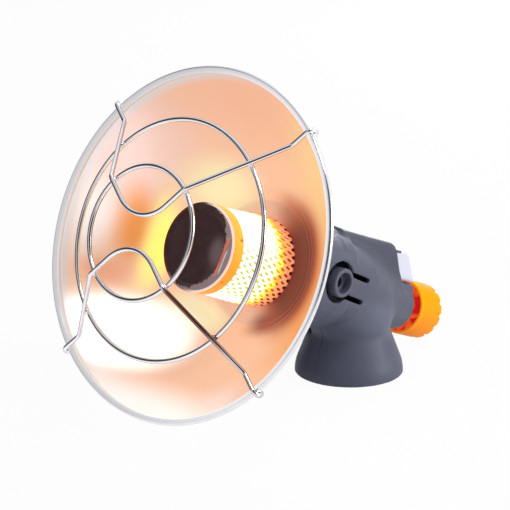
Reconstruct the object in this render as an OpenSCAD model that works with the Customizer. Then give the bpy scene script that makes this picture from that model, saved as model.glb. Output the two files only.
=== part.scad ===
// Portable gas heater head: a dished reflector with a wire guard and a glowing mesh
// burner, on a two-part plastic housing that screws onto a threaded gas cartridge.
// The origin is the middle of the mouth of the cartridge thread, with +Z up.
// The reflector faces -Y, and X = 0 is the plane where the housing halves meet.

/* [Reflector] */
// Diameter over the rolled rim
dish_d = 150; // [130:1:190]
// Depth from the middle of the rim to the back of the floor
dish_depth = 48; // [42:1:60]
// Diameter of the flat floor
dish_floor_d = 54; // [52:1:66]
// How far the wall bows outwards from a straight cone
dish_bow = 3; // [1:0.5:5]
// Thickness of the sheet
dish_sheet = 0.6; // [0.5:0.1:1]
// Diameter of the rolled rim
bead_d = 3; // [2.6:0.2:4]
// Upward tilt of the reflector's axis, in degrees
dish_tilt = 21.5; // [16:0.5:27]
// Distance along the axis from the neck's middle line to the rim
rim_reach = 113; // [110:1:125]
// Height of the reflector's axis over the thread's mouth, at the neck's middle line
axis_height = 32.4; // [31:0.2:36]

/* [Burner] */
// Outer diameter of the mesh at the floor of the reflector
mesh_back_d = 40.4; // [39:0.2:42]
// Outer diameter of the mesh at the band
mesh_front_d = 36.6; // [35:0.2:38]
// Length of the mesh that shows between the floor and the band
mesh_len = 33.4; // [26:0.2:36]
// Thickness of the mesh
mesh_t = 0.7; // [0.5:0.1:1]
// Diameter of the holes in the mesh
mesh_hole_d = 2; // [1.4:0.2:2.6]
// Width of the band
band_w = 5.8; // [4:0.2:8]
// Thickness of the band
band_t = 0.6; // [0.4:0.1:0.8]
// Width of the bevel round the cap
cap_bevel = 3.4; // [2:0.2:5]
// Height of the bevel round the cap
cap_rise = 1.8; // [1:0.2:3]
// Outer diameter of the mixing tube
tube_d = 13; // [12:0.2:14]
// Wall of the mixing tube
tube_wall = 0.8; // [0.6:0.1:1]
// Diameter of the air holes in the mixing tube
air_hole_d = 5; // [3:0.5:6]

/* [Guard] */
// Diameter of the guard's wire
wire_d = 2; // [1.6:0.2:2.4]
// Diameter of the outer ring, to the middle of the wire
ring_outer_d = 100; // [90:1:110]
// Diameter of the inner ring, to the middle of the wire
ring_inner_d = 55; // [50:1:64]
// Height of the flat middle of the guard over the rim
guard_rise = 31.2; // [24:0.4:36]
// Distance from the axis to where the legs start to rise
leg_foot_r = 65.5; // [62:0.5:68]
// Bend radius of the wires at the middle
bend_r = 17.4; // [12:0.2:20]
// Turn of the guard about the axis, in degrees
guard_turn = 3; // [-10:1:10]

/* [Housing] */
// Thickness of the moulded walls
wall = 2.2; // [1.8:0.1:2.6]
// Half of the housing's width at the stand sockets
side_half = 19.8; // [19:0.2:22]
// Radius of the front hood
hood_r = 22.6; // [22:0.2:25]
// Half of the width of the spine that carries the igniter
spine_half = 10.6; // [10:0.2:12]
// Radius of the nose behind the knob
nose_r = 11.2; // [10.8:0.2:12]
// Radius of the rounded neck over the skirt
neck_r = 19.5; // [19:0.25:20.5]
// Outer radius of the skirt at its foot
skirt_r = 24.4; // [23:0.2:28]
// Outer radius of the skirt where it meets the neck
skirt_top_r = 17.8; // [17:0.2:18.6]
// Height of the skirt
skirt_h = 21; // [19:0.5:24]
// How far the skirt reaches below the mouth of the thread
skirt_drop = 8; // [5:0.5:10]
// Housing screw diameter
screw_d = 2.8; // [2.5:0.1:3.2]
// Housing screw head diameter
screw_head_d = 5.4; // [5:0.1:6]

/* [Stand sockets] */
// Distance from the neck's middle line forward to the sockets, along the axis
socket_f = 32.5; // [29:0.5:36]
// Outer diameter of a socket
socket_d = 12.7; // [11:0.1:13.4]
// Diameter of the socket's mouth
socket_mouth_d = 9.2; // [7:0.1:9.8]
// Diameter of the bore for the stand's wire
socket_bore_d = 4.6; // [3:0.1:5]
// How far a socket stands out of the side
socket_out = 2.5; // [1:0.1:4]
// Radius of the opening round a socket
socket_gap_r = 9.2; // [8.6:0.1:10]
// Width of the slots that free the socket's tongue
slot_w = 2.2; // [1.6:0.1:2.6]
// Length of the tongue behind the socket
tongue_len = 19.5; // [16:0.5:24]

/* [Gas valve] */
// Inside radius of the cartridge thread, 7/16 inch with 28 turns an inch
thread_r = 5.15; // [5.1:0.05:5.3]
// Length of the cartridge thread
thread_len = 9; // [7:0.5:9.5]
// Radius of the threaded inlet
inlet_r = 9; // [8:0.25:9.5]
// Radius of the valve's barrel
barrel_r = 7; // [6.4:0.1:7.4]
// Radius of the valve's spindle
spindle_r = 2; // [1.8:0.1:2.2]
// Radius of the thread on the spindle
spindle_thread_r = 2.9; // [2.6:0.1:3.1]
// Radius of the drilling in the gas jet
jet_bore_r = 0.5; // [0.3:0.1:0.8]

/* [Knob] */
// Outer diameter of the knob
knob_d = 25.4; // [25:0.2:30]
// Length of the knob
knob_len = 16; // [13:0.5:18]
// Wall of the knob
knob_wall = 1.5; // [1.2:0.1:2]
// Gap between the nose and the knob, along the axis
knob_gap = 4; // [3.8:0.1:6]
// Number of finger notches round the back of the knob
knob_notches = 16; // [8:2:24]
// Height of the knob's axis over the reflector's axis
knob_rise = -4.2; // [-5:0.1:-4]

/* [Igniter] */
// Width of the button
button_w = 15; // [13:0.5:16]
// How far the button stands out of the housing
button_out = 14; // [10:0.5:15]
// Travel of the button
button_travel = 5; // [4:0.5:6]
// Lean of the housing's face round the button from square, in degrees
face_lean = 34; // [28:1:38]
// Lean of the button's face from square, in degrees
button_lean = 38; // [32:1:40]
// Height of the igniter's axis over the reflector's axis
igniter_rise = 13; // [12.6:0.1:13.6]
// Outer radius of the piezo igniter
igniter_r = 4.8; // [4.4:0.1:5]
// Wire diameter of the igniter's spring
spring_wire = 0.6; // [0.5:0.05:0.7]

/* [Hidden] */
$fn = 96;

// Colours
plastic_grey = [0.36, 0.37, 0.42];
plastic_orange = [1.0, 0.62, 0.06];
plastic_white = [0.88, 0.88, 0.94];
steel = [0.78, 0.79, 0.81];
brass = [0.78, 0.62, 0.30];
black_rubber = [0.09, 0.09, 0.10];
dark_enamel = [0.22, 0.16, 0.16];
dish_metal = [0.93, 0.76, 0.66];
glow_orange = [1.0, 0.58, 0.16];
glow_yellow = [1.0, 0.86, 0.40];
ceramic_white = [0.93, 0.91, 0.86];
igniter_brown = [0.35, 0.28, 0.24];
igniter_black = [0.20, 0.20, 0.22];

// Clearances
slip = 0.05;      // radial clearance of pieces pushed into each other
run = 0.06;       // radial clearance of a turning or sliding fit
air = 0.4;        // clearance between pieces that move past each other
seat = 0.1;       // gap between pieces that rest on each other
eps = 0.01;

// Places along the reflector's axis, counted forward from the neck's middle line
rim_f = rim_reach;
floor_f = rim_f - dish_depth;
floor_front_f = floor_f + dish_sheet;
mesh_back_f = floor_front_f + seat;
band_back_f = mesh_back_f + mesh_len;
band_front_f = band_back_f + band_w;
bead_r = bead_d / 2;
bead_ring_r = dish_d / 2 - bead_r;
floor_r = dish_floor_d / 2;

// Burner
mesh_lap = 2;
band_r = mesh_front_d / 2 + slip + band_t;
mesh_hole_rows = 5;
mesh_holes_a_row = 18;
tube_r = tube_d / 2;
hub_wall = 2.5;
hub_r = tube_r + hub_wall;
cup_gap = 0.2;
cup_r = mesh_back_d / 2 - mesh_t - cup_gap;
cup_t = 1.2;
hub_len = 5.2;
nut_h = 3.2;
nut_wall = 2.75;
nut_af = 2 * (hub_r + nut_wall);
collar_room = 8;
collar_r = hub_r + collar_room;
collar_wall = 1.2;
collar_len = 13;
collar_back_f = floor_f - collar_len;
lip_out = 1.2;
lip_w = 1.6;
lip_step = 2;
lip_f = collar_back_f + lip_step;
diffuser_short = 4;
diffuser_foot = 1.6;
diffuser_gap = 4;
diffuser_rows = 3;
diffuser_holes_a_row = 10;
band_holes = 6;
band_hole_d = 1.2;
band_hole_f = 1.6;
band_hole_turn = 20;
cap_lip = 0.5;
cap_sleeve_len = 2.4;

// Housing
hood_lap = 6;
hood_front_f = collar_back_f + hood_lap;
hood_back_f = 23.5;
belly_f = 30;
hood_step = 1.1;
belly_r = hood_r - hood_step;
belly_arc_r = 120;
nose_end_f = -36.6;
nose_run = 6;
neck_z = 20;
spine_top = hood_r - seat;
spine_low = -6;
spine_toe = 3;
spine_corner_r = 3.2;
spine_foot = 12;
spine_lap = 4;
spine_front_f = hood_back_f + spine_lap;
face_f = -19.6;
inlet_web_t = 2.5;
inlet_web_rise = 1;
inlet_web_z = thread_len + inlet_web_rise;
skirt_bell_h = 4;
skirt_bell_r = 20;
inlet_room_z = 24;
tube_room = 4;
nose_web_t = 4;
nose_bore_len = 30;
front_web_len = 7.4;
rib_t = 5;
rib_wall = 1.5;
pocket_back = 6;

// Stand sockets
socket_r = socket_d / 2;
socket_mouth_depth = 3.5;
socket_end_x = side_half + socket_out;
socket_len = 8.4;
slot_inset = 1.35;
slot_v = socket_r - slot_inset;
socket_gap_in = 1.5;
tongue_half = slot_v - slot_w / 2;

// Valve
valve_front_f = 10;
stub_r = tube_r - tube_wall - slip;
stub_front_f = 18;
tube_back_f = 12;
jet_r = 3;
jet_front_f = 24;
air_hole_f = 29;
air_holes = 4;
gland_in = 4.4;
valve_back_f = nose_end_f + gland_in;
gland_front_f = valve_back_f;
gland_len = 6.6;
gland_back_f = gland_front_f - gland_len;
gland_af = 12;
seal_bore_step = 0.6;
seal_bore_r = spindle_thread_r + seal_bore_step;
seal_in = 5;
seal_front_f = valve_back_f + seal_in;
seal_w = 2;
seal_groove = 0.3;
thread_back_f = -24;
thread_front_f = -10;
needle_f = -6;
needle_tip_f = 2;
needle_tip_r = 0.6;
needle_seat_len = 0.8;
orifice_f = needle_tip_f - needle_seat_len;
outlet_f = 4.2;
passage_r = 0.8;
cross_passage_r = 1;
inlet_roof = 5;
inlet_top_z = thread_len + inlet_roof;
seal_recess_step = 0.9;
seal_recess_r = thread_r + seal_recess_step;
seal_recess_h = 2;
neck_stem_r = 6.5;
pin_r = 1;
pin_bore_r = 0.5;
pin_len = 8;
jet_shank_r = 1.8;
jet_shank_len = 4;
jet_tip_r = 1.2;
jet_cone_len = 3;

// Knob
knob_r = knob_d / 2;
knob_front_f = nose_end_f - knob_gap;
knob_back_f = knob_front_f - knob_len;
knob_web_t = 2.4;
knob_recess_r = 6.4;
knob_recess_depth = 2.4;
knob_web_f = knob_back_f + knob_recess_depth + knob_web_t;
knob_hub_r = 4.6;
knob_hub_in = 2;
knob_notch_len = 4;
knob_rib_t = 1.2;
knob_rib_h = 5;
knob_notch_r = 1.6;
knob_notch_depth = 0.7;
knob_edge = 1;
knob_screw_r = 1.2;
knob_screw_head_r = 2.6;
knob_screw_head_h = 1.6;
screw_in_spindle = 5;

// Igniter
button_bottom = knob_rise + nose_r + air;
button_roof = 1.9;
button_top = spine_top - button_roof;
button_front_f = -13;
button_wall = 1.4;
button_corner_r = 3;
button_toe = 1.2;
button_toe_len = 1.6;
igniter_wall = 1.6;
plunger_r = igniter_r - igniter_wall;
plunger_front_f = 0;
plunger_back_f = button_back(igniter_rise + plunger_r, button_wall) + seat;
button_hub_wall = 1.2;
button_hub_len = 6;
igniter_back_f = button_front_f + button_travel + air;
igniter_front_f = 20;
igniter_bore_f = 12;
contact_r = 1.6;
contact_front_f = 24;
spring_turns = 6;
spring_gap = 0.2;

// Electrode, on the left of the burner as seen from behind the reflector
spark_room = 3.8;
electrode_x = -(mesh_back_d / 2 + spark_room);
insulator_r = 1.9;
insulator_tail = 2.4;
insulator_nose = 5;
insulator_back_f = floor_f - insulator_tail;
insulator_front_f = floor_front_f + insulator_nose;
insulator_flange_w = 0.9;
insulator_flange_r = insulator_r + insulator_flange_w;
electrode_r = 0.6;
electrode_out = 5;
electrode_front_f = insulator_front_f + electrode_out;
electrode_reach = 2.4;
lead_r = 1;
lead_exit_back = 5.4;
lead_exit_f = floor_f - lead_exit_back;
lead_start_f = contact_front_f + slip;
lead_tube_r = tube_r + lead_r + 1;
// Points of the ignition lead's middle line, as across, upward and forward
lead_path = [
    [0, igniter_rise, lead_start_f], [0, igniter_rise, lead_start_f + 4],
    [-0.6, igniter_rise - 1, lead_start_f + 8], [-2, igniter_rise - 3, lead_start_f + 12],
    [-4.2, lead_tube_r - 1, lead_start_f + 17], [-6.8, lead_tube_r - 3, lead_start_f + 22],
    [-lead_tube_r, 1, collar_back_f - 1], [-lead_tube_r - 0.4, 0, collar_back_f + 3],
    [-lead_tube_r - 2, 0, lead_exit_f - 1.6], [-lead_tube_r - 4.4, 0, lead_exit_f - 0.3],
    [-collar_r, 0, lead_exit_f], [electrode_x + 3.4, 0, lead_exit_f],
    [electrode_x + 1.4, 0, lead_exit_f + 0.4], [electrode_x + 0.3, 0, lead_exit_f + 1.3],
    [electrode_x, 0, lead_exit_f + 2.2], [electrode_x, 0, insulator_back_f - seat]
];

// Guard
wire_r = wire_d / 2;
hook_r = bead_r + wire_r + seat;
hook_end = 80;
leg_bend_r = 4;
kink_r = ring_inner_d / 2 + wire_r + slip;
leg_slope = (guard_rise - hook_r) / (leg_foot_r - kink_r);
leg_angle = atan(leg_slope);
ring_drop = (wire_d + slip) / cos(leg_angle);

// Height over the rim of a leg's middle line at a distance from the axis
function leg_height(r) = hook_r + leg_slope * (leg_foot_r - r);

// Distance along the axis of the housing's slanted rear face at a height over the axis
function face_at(v) = face_f + (v - igniter_rise) * tan(face_lean);

// The same for the button's rear face at rest, moved inwards by a wall of g
function button_back(v, g) =
    face_f - button_out + (v - igniter_rise) * tan(button_lean) + g / cos(button_lean);

// Points of an arc about c with radius r, from angle a to angle b
function arc(c, r, a, b, n = 8) =
    [for (i = [0 : n]) c + r * [cos(a + (b - a) * i / n), sin(a + (b - a) * i / n)]];

// ---- Frames and small helpers ----

// Puts its children on the reflector's axis: Z runs forward along it, and Y is upward
module on_axis() {
    translate([0, 0, axis_height]) rotate([90 - dish_tilt, 0, 0]) children();
}

// Puts its children on the reflector's axis, at the middle of the rim
module at_rim() {
    on_axis() translate([0, 0, rim_f]) children();
}

// Extrudes a side view, drawn forward and upward, across the width from x0 to x1
module across(x0, x1) {
    translate([x1, 0, 0]) rotate([0, -90, 0]) linear_extrude(x1 - x0) children();
}

// Round rod or drilling of radius r, from a to b along Z
module rod(r, a, b) {
    translate([0, 0, a]) cylinder(r = r, h = b - a);
}

// Coaxial drillings from z = start onwards, each given as its radius and where it ends
module stepped_bore(start, steps) {
    rotate_extrude() polygon(concat(
        [[0, start]],
        [for (i = [0 : len(steps) - 1]) each [
            [steps[i][0], i == 0 ? start : steps[i - 1][1]], [steps[i][0], steps[i][1]]
        ]],
        [[0, steps[len(steps) - 1][1]]]
    ));
}

module tube(r_out, r_in, h) {
    difference() {
        cylinder(r = r_out, h = h);
        translate([0, 0, -1]) cylinder(r = r_in, h = h + 2);
    }
}

module hexagon(af, h) {
    cylinder(d = af / cos(30), h = h, $fn = 6);
}

// Points of a ring with s sides and radius r about p, square to the direction d and level with up
function ring_points(p, d, up, r, s) =
    let (aside = cross(up, d), u = aside / norm(aside), w = cross(d, u) / norm(d))
    [for (i = [0 : s - 1]) p + r * (cos(360 * i / s) * u + sin(360 * i / s) * w)];

// Round bar of radius r with s sides along the points of path, which never runs along up
module swept_bar(path, up, r, s) {
    n = len(path);
    heading = [for (i = [0 : n - 1]) path[min(i + 1, n - 1)] - path[max(i - 1, 0)]];
    points = [for (i = [0 : n - 1]) each ring_points(path[i], heading[i], up, r, s)];
    corner = function (i, j) i * s + j % s;
    sides = [for (i = [0 : n - 2], j = [0 : s - 1]) each [
        [corner(i, j + 1), corner(i, j), corner(i + 1, j + 1)],
        [corner(i + 1, j + 1), corner(i, j), corner(i + 1, j)]
    ]];
    first = [for (j = [0 : s - 1]) j];
    last = [for (j = [s - 1 : -1 : 0]) corner(n - 1, j)];
    polyhedron(points, concat([first], sides, [last]), convexity = 8);
}

// Cross-shaped recess of a screw head
module cross_slot(length) {
    for (a = [0, 90]) rotate([0, 0, a]) cube([length / 4, length, length / 2], center = true);
}

// ---- Housing ----

// Rounded belly and hood about the reflector's axis, made smaller by g all round
module belly_form(g) {
    rotate_extrude() intersection() {
        translate([belly_r - belly_arc_r - g, belly_f]) circle(r = belly_arc_r);
        translate([0, nose_end_f + nose_run]) square([belly_r, belly_f - nose_end_f]);
    }
    translate([0, 0, hood_back_f + g]) cylinder(r = hood_r - g, h = hood_front_f - hood_back_f - 2 * g);
}

// Upright spine over the belly, which ends in the slanted face round the button
module spine_form(g) {
    top = spine_top - g;
    back = g / cos(face_lean);
    corner = spine_corner_r;
    corner_c = [face_at(top - corner) + back + corner / cos(face_lean), top - corner];
    toe = [face_at(spine_toe) + back, spine_toe];
    across(-spine_half + g, spine_half - g) polygon(concat(
        [[spine_front_f, spine_low], [spine_front_f, top]],
        arc(corner_c, corner, 90, 180 - face_lean, 6),
        [toe, [toe[0] + spine_foot, spine_low]]
    ));
}

module nose_form(g) {
    translate([0, knob_rise, nose_end_f + g]) cylinder(r = nose_r - g, h = nose_run - nose_end_f - g);
}

module upper_form(g) {
    on_axis() intersection() {
        union() {
            belly_form(g);
            spine_form(g);
            nose_form(g);
        }
        cube([2 * (side_half - g), 4 * hood_r, 4 * rim_reach], center = true);
    }
    translate([0, 0, neck_z]) sphere(r = neck_r - g);
}

// Half profile of the bell-shaped skirt, made smaller by g; it is open below where g is a wall
module skirt_profile(g) {
    foot = -skirt_drop;
    slope = atan((skirt_r - skirt_top_r) / (skirt_h - skirt_bell_h));
    c = [skirt_r - skirt_bell_r, foot + skirt_bell_h - skirt_bell_r * tan(slope / 2)];
    low = g > 0 ? foot - 1 : foot;
    polygon(concat(
        [[0, low], [skirt_r - g, low]],
        arc(c, skirt_bell_r - g, 0, slope, 6),
        [[skirt_top_r - g, foot + skirt_h], [skirt_top_r - g, neck_z], [0, neck_z]]
    ));
}

module skirt_form(g) {
    rotate_extrude() skirt_profile(g);
}

module outer_form() {
    upper_form(0);
    skirt_form(0);
}

module inner_form() {
    upper_form(wall);
    skirt_form(wall);
}

// Side view places of the screws, as forward and upward on the reflector's axis
front_screw_back = 7;
front_screw_v = 15;
front_screws = [for (side = [1, -1]) [collar_back_f - front_screw_back, side * front_screw_v]];
// Places of the neck screws, as Y and Z
neck_screw_y = 14;
neck_screw_z = 12.2;
neck_screws = [for (side = [1, -1]) [side * neck_screw_y, neck_screw_z]];
boss_wall = 1.8;
boss_r = screw_d / 2 + boss_wall;
screw_grip = 8;
front_head_x = 13.2;
neck_head_x = 8.6;
screw_head_h = 2;

// Runs its children along X at each screw, with the depth of the head as $head_x
module at_screws() {
    on_axis() for (p = front_screws) translate([0, p[1], p[0]]) rotate([0, 90, 0]) {
        $head_x = front_head_x;
        children();
    }
    for (p = neck_screws) translate([0, p[0], p[1]]) rotate([0, 90, 0]) {
        $head_x = neck_head_x;
        children();
    }
}

// Web that grips the valve's inlet, the screw bosses and the collar's groove
module inner_webs() {
    intersection() {
        outer_form();
        union() {
            translate([0, 0, inlet_web_z]) cylinder(r = neck_r, h = inlet_web_t);
            at_screws() cylinder(r = boss_r, h = 4 * side_half, center = true);
            on_axis() translate([0, 0, hood_front_f - front_web_len])
                cylinder(r = hood_r - wall / 2, h = front_web_len - eps);
            on_axis() translate([0, knob_rise, nose_end_f + wall - eps])
                cylinder(r = nose_r - wall / 2, h = nose_web_t);
            on_axis() translate([0, igniter_rise, igniter_back_f + rib_t + 1])
                cube([2 * spine_half, 2 * (igniter_r + rib_wall), rib_t], center = true);
        }
    }
}

// Everything that is cut out of the closed housing
module housing_cuts() {
    translate([0, 0, -skirt_drop - 1]) cylinder(r = inlet_r + slip, h = inlet_room_z + skirt_drop + 1);
    on_axis() {
        translate([0, 0, collar_back_f - seat]) cylinder(r = collar_r + slip, h = collar_len);
        translate([0, 0, lip_f - seat]) cylinder(r = collar_r + lip_out + slip, h = lip_w + 2 * seat);
        translate([0, 0, tube_back_f]) cylinder(r = tube_r + tube_room, h = collar_back_f - tube_back_f);
        translate([0, knob_rise, nose_end_f - 1]) cylinder(r = barrel_r + slip, h = nose_bore_len);
        translate([0, igniter_rise, igniter_back_f - 1])
            cylinder(r = igniter_r + slip, h = igniter_front_f - igniter_back_f);
        button_pocket();
    }
}

module button_pocket() {
    across(-button_w / 2 - air, button_w / 2 + air) polygon([
        [button_front_f + button_travel + air, button_bottom - air / 2],
        [button_front_f + button_travel + air, button_top + air],
        [face_at(button_top) - spine_corner_r - pocket_back, button_top + air],
        [face_at(button_bottom) - spine_corner_r, button_bottom - air / 2]
    ]);
}

// Opening round a stand socket, with the two slots that free its tongue, on the +X side
module socket_opening() {
    depth = 2 * wall + socket_out + 2;
    on_axis() translate([side_half - wall - socket_gap_in, 0, socket_f]) {
        difference() {
            rotate([0, 90, 0]) cylinder(r = socket_gap_r, h = depth);
            translate([-1, -tongue_half, -socket_gap_r - 1])
                cube([depth + 2, 2 * tongue_half, socket_gap_r + 1]);
        }
        for (v = [-slot_v, slot_v]) translate([0, v, -tongue_len]) {
            rotate([0, 90, 0]) cylinder(d = slot_w, h = depth);
            translate([0, -slot_w / 2, 0]) cube([depth, slot_w, tongue_len - socket_r]);
        }
    }
}

// Stepped socket at the end of its tongue, on the +X side
module socket_boss() {
    on_axis() translate([socket_end_x - socket_len, 0, socket_f]) rotate([0, 90, 0])
        cylinder(r = socket_r, h = socket_len);
}

module socket_bores() {
    on_axis() translate([socket_end_x, 0, socket_f]) rotate([0, 90, 0]) {
        translate([0, 0, -socket_mouth_depth]) cylinder(d = socket_mouth_d, h = socket_mouth_depth + 1);
        translate([0, 0, -socket_len - 1]) cylinder(d = socket_bore_d, h = socket_len + 2);
    }
}

// The +X half without its screw holes; the -X half is its mirror image
module half_shell() {
    difference() {
        union() {
            difference() {
                outer_form();
                inner_form();
                socket_opening();
            }
            inner_webs();
            socket_boss();
        }
        socket_bores();
        housing_cuts();
        translate([-4 * rim_reach, -2 * rim_reach, -2 * rim_reach]) cube(4 * rim_reach);
    }
}

module housing_right() {
    color(plastic_grey) difference() {
        half_shell();
        at_screws() translate([0, 0, -1]) cylinder(r = screw_d / 2 + slip, h = screw_grip + 1 + air);
    }
}

module housing_left() {
    color(plastic_grey) difference() {
        mirror([1, 0, 0]) half_shell();
        at_screws() translate([0, 0, -$head_x]) {
            cylinder(r = screw_d / 2 + slip, h = $head_x + 1);
            translate([0, 0, -side_half]) cylinder(r = screw_head_d / 2 + seat, h = side_half);
        }
    }
}

module housing_screws() {
    color(steel) at_screws() difference() {
        union() {
            translate([0, 0, -$head_x - screw_head_h]) cylinder(d = screw_head_d, h = screw_head_h - seat);
            translate([0, 0, -$head_x - 1]) cylinder(d = screw_d, h = $head_x + 1 + screw_grip);
        }
        translate([0, 0, -$head_x - screw_head_h]) cross_slot(screw_head_d * 0.6);
    }
}

// ---- Reflector and its fixing ----

// Middle of the arc that the wall's inside follows, from the floor's edge to the rim
wall_foot = [floor_r, floor_front_f - rim_f];
wall_head = [bead_ring_r, 0];
wall_chord = wall_head - wall_foot;
wall_chord_len = norm(wall_chord);
wall_arc_r = (pow(wall_chord_len, 2) / 4 + pow(dish_bow, 2)) / (2 * dish_bow);
wall_inward = [-wall_chord[1], wall_chord[0]] / wall_chord_len;
wall_arc_c = (wall_foot + wall_head) / 2 + wall_inward * (wall_arc_r - dish_bow);

// Half profile of the sheet, with Y along the axis and 0 at the middle of the rim
module reflector_profile() {
    big = 4 * dish_d;
    difference() {
        union() {
            intersection() {
                difference() {
                    translate(wall_arc_c) circle(r = wall_arc_r + dish_sheet);
                    translate(wall_arc_c) circle(r = wall_arc_r);
                }
                translate([0, -dish_depth]) square([big, dish_depth]);
            }
            translate([0, -dish_depth]) square([floor_r + dish_sheet, dish_sheet]);
            translate(wall_head) circle(r = bead_r);
        }
        translate(wall_head) circle(r = bead_r - dish_sheet);
        translate(wall_head) rotate(-hook_end) square([bead_d, bead_r / 3]);
    }
}

module reflector() {
    color(dish_metal) difference() {
        at_rim() rotate_extrude() reflector_profile();
        on_axis() {
            translate([0, 0, floor_f - 1]) cylinder(r = hub_r + slip, h = dish_sheet + 2);
            translate([electrode_x, 0, floor_f - 1]) cylinder(r = insulator_r + seat, h = dish_sheet + 2);
        }
    }
}

// Steel cup behind the reflector's floor, whose lip sits in a groove of the housing
module mounting_collar() {
    color(steel) on_axis() difference() {
        union() {
            translate([0, 0, collar_back_f]) cylinder(r = collar_r, h = collar_len - seat);
            translate([0, 0, lip_f]) cylinder(r = collar_r + lip_out, h = lip_w);
        }
        translate([0, 0, collar_back_f - 1])
            cylinder(r = collar_r - collar_wall, h = collar_len - collar_wall + 1);
        translate([0, 0, floor_f - 2 * collar_wall]) cylinder(r = hub_r + slip, h = 3 * collar_wall);
        translate([-collar_r, 0, lead_exit_f]) rotate([0, 90, 0])
            cylinder(r = lead_r + air, h = 3 * collar_wall, center = true);
    }
}

module reflector_nut() {
    h = nut_h - seat;
    color(steel) on_axis() translate([0, 0, floor_f - collar_wall - seat - nut_h]) difference() {
        rotate([0, 0, 30]) hexagon(nut_af, h);
        translate([0, 0, -1]) cylinder(r = hub_r + slip, h = h + 2);
    }
}

// ---- Burner ----

// Floor plate of the burner with the threaded hub that the nut clamps
module burner_cup() {
    color(dark_enamel) on_axis() difference() {
        union() {
            translate([0, 0, floor_front_f + seat]) cylinder(r = cup_r, h = cup_t);
            translate([0, 0, floor_front_f + seat - hub_len]) cylinder(r = hub_r, h = hub_len + eps);
        }
        translate([0, 0, floor_front_f - hub_len - 1]) cylinder(r = tube_r + slip, h = hub_len + cup_t + 2);
    }
}

// Rows of holes square to the axis, each cut through both sides, and staggered from row to row
module hole_rows(rows, holes, h, r, sides) {
    for (row = [1 : rows], i = [1 : holes / 2]) translate([0, 0, row * h / (rows + 1)])
        rotate([0, 90, (i + row / 2) * 360 / holes])
            cylinder(d = mesh_hole_d, h = 2 * r + 2, center = true, $fn = sides);
}

// Tapered sleeve of wire mesh, drawn as a wall with staggered diamond-shaped holes
module burner_mesh() {
    taper = (mesh_back_d - mesh_front_d) / 2 / mesh_len;
    h = mesh_len + mesh_lap;
    r0 = mesh_back_d / 2;
    r1 = r0 - taper * h;
    color(glow_yellow) on_axis() translate([0, 0, mesh_back_f]) difference() {
        cylinder(r1 = r0, r2 = r1, h = h);
        translate([0, 0, -eps]) cylinder(r1 = r0 - mesh_t, r2 = r1 - mesh_t, h = h + 2 * eps);
        hole_rows(mesh_hole_rows, mesh_holes_a_row, mesh_len, r0, 4);
    }
}

// Inner cone that spreads the gas over the mesh
module flame_diffuser() {
    h = mesh_len - diffuser_short;
    r0 = tube_r + diffuser_foot;
    r1 = mesh_front_d / 2 - diffuser_gap;
    color(glow_orange) on_axis() translate([0, 0, mesh_back_f + cup_t + seat]) difference() {
        cylinder(r1 = r0, r2 = r1, h = h);
        translate([0, 0, -eps]) cylinder(r1 = r0 - tube_wall, r2 = r1 - tube_wall, h = h + 2 * eps);
        hole_rows(diffuser_rows, diffuser_holes_a_row, h, r1, 4);
    }
}

module burner_band() {
    color(glow_orange) on_axis() translate([0, 0, band_back_f]) difference() {
        cylinder(r = band_r, h = band_w);
        translate([0, 0, -1]) cylinder(r = band_r - band_t, h = band_w + 2);
        for (i = [1 : band_holes]) rotate([0, 90, i * 360 / band_holes + band_hole_turn])
            translate([-band_hole_f, 0, band_r - 0.1]) cylinder(d = band_hole_d, h = 1);
    }
}

// Pressed cap with a bevelled edge, which closes the front of the burner
module burner_cap() {
    flat_r = band_r - cap_bevel;
    sleeve_r = band_r - band_t - slip;
    bore_r = sleeve_r - band_t;
    color(dark_enamel) on_axis() translate([0, 0, band_front_f + seat]) rotate_extrude() polygon([
        [0, cap_rise], [flat_r, cap_rise], [band_r, cap_lip], [band_r, 0],
        [sleeve_r, 0], [sleeve_r, -cap_sleeve_len], [bore_r, -cap_sleeve_len], [bore_r, 0],
        [flat_r - slip, cap_rise - band_t], [0, cap_rise - band_t]
    ]);
}

module mixing_tube() {
    color(steel) on_axis() difference() {
        translate([0, 0, tube_back_f]) tube(tube_r, tube_r - tube_wall, mesh_back_f + cup_t - tube_back_f);
        for (i = [0 : air_holes / 2 - 1]) translate([0, 0, air_hole_f])
            rotate([0, 90, i * 90 + 45]) cylinder(d = air_hole_d, h = 2 * tube_d, center = true);
    }
}

// ---- Gas valve ----

module gas_jet() {
    color(brass) on_axis() difference() {
        union() {
            rod(jet_shank_r, stub_front_f - jet_shank_len, stub_front_f + 1);
            translate([0, 0, stub_front_f + seat])
                cylinder(r = jet_r, h = jet_front_f - jet_cone_len - stub_front_f - seat);
            translate([0, 0, jet_front_f - jet_cone_len])
                cylinder(r1 = jet_r, r2 = jet_tip_r, h = jet_cone_len);
        }
        rod(jet_bore_r, stub_front_f - jet_shank_len - 1, jet_front_f + 1);
    }
}

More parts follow.
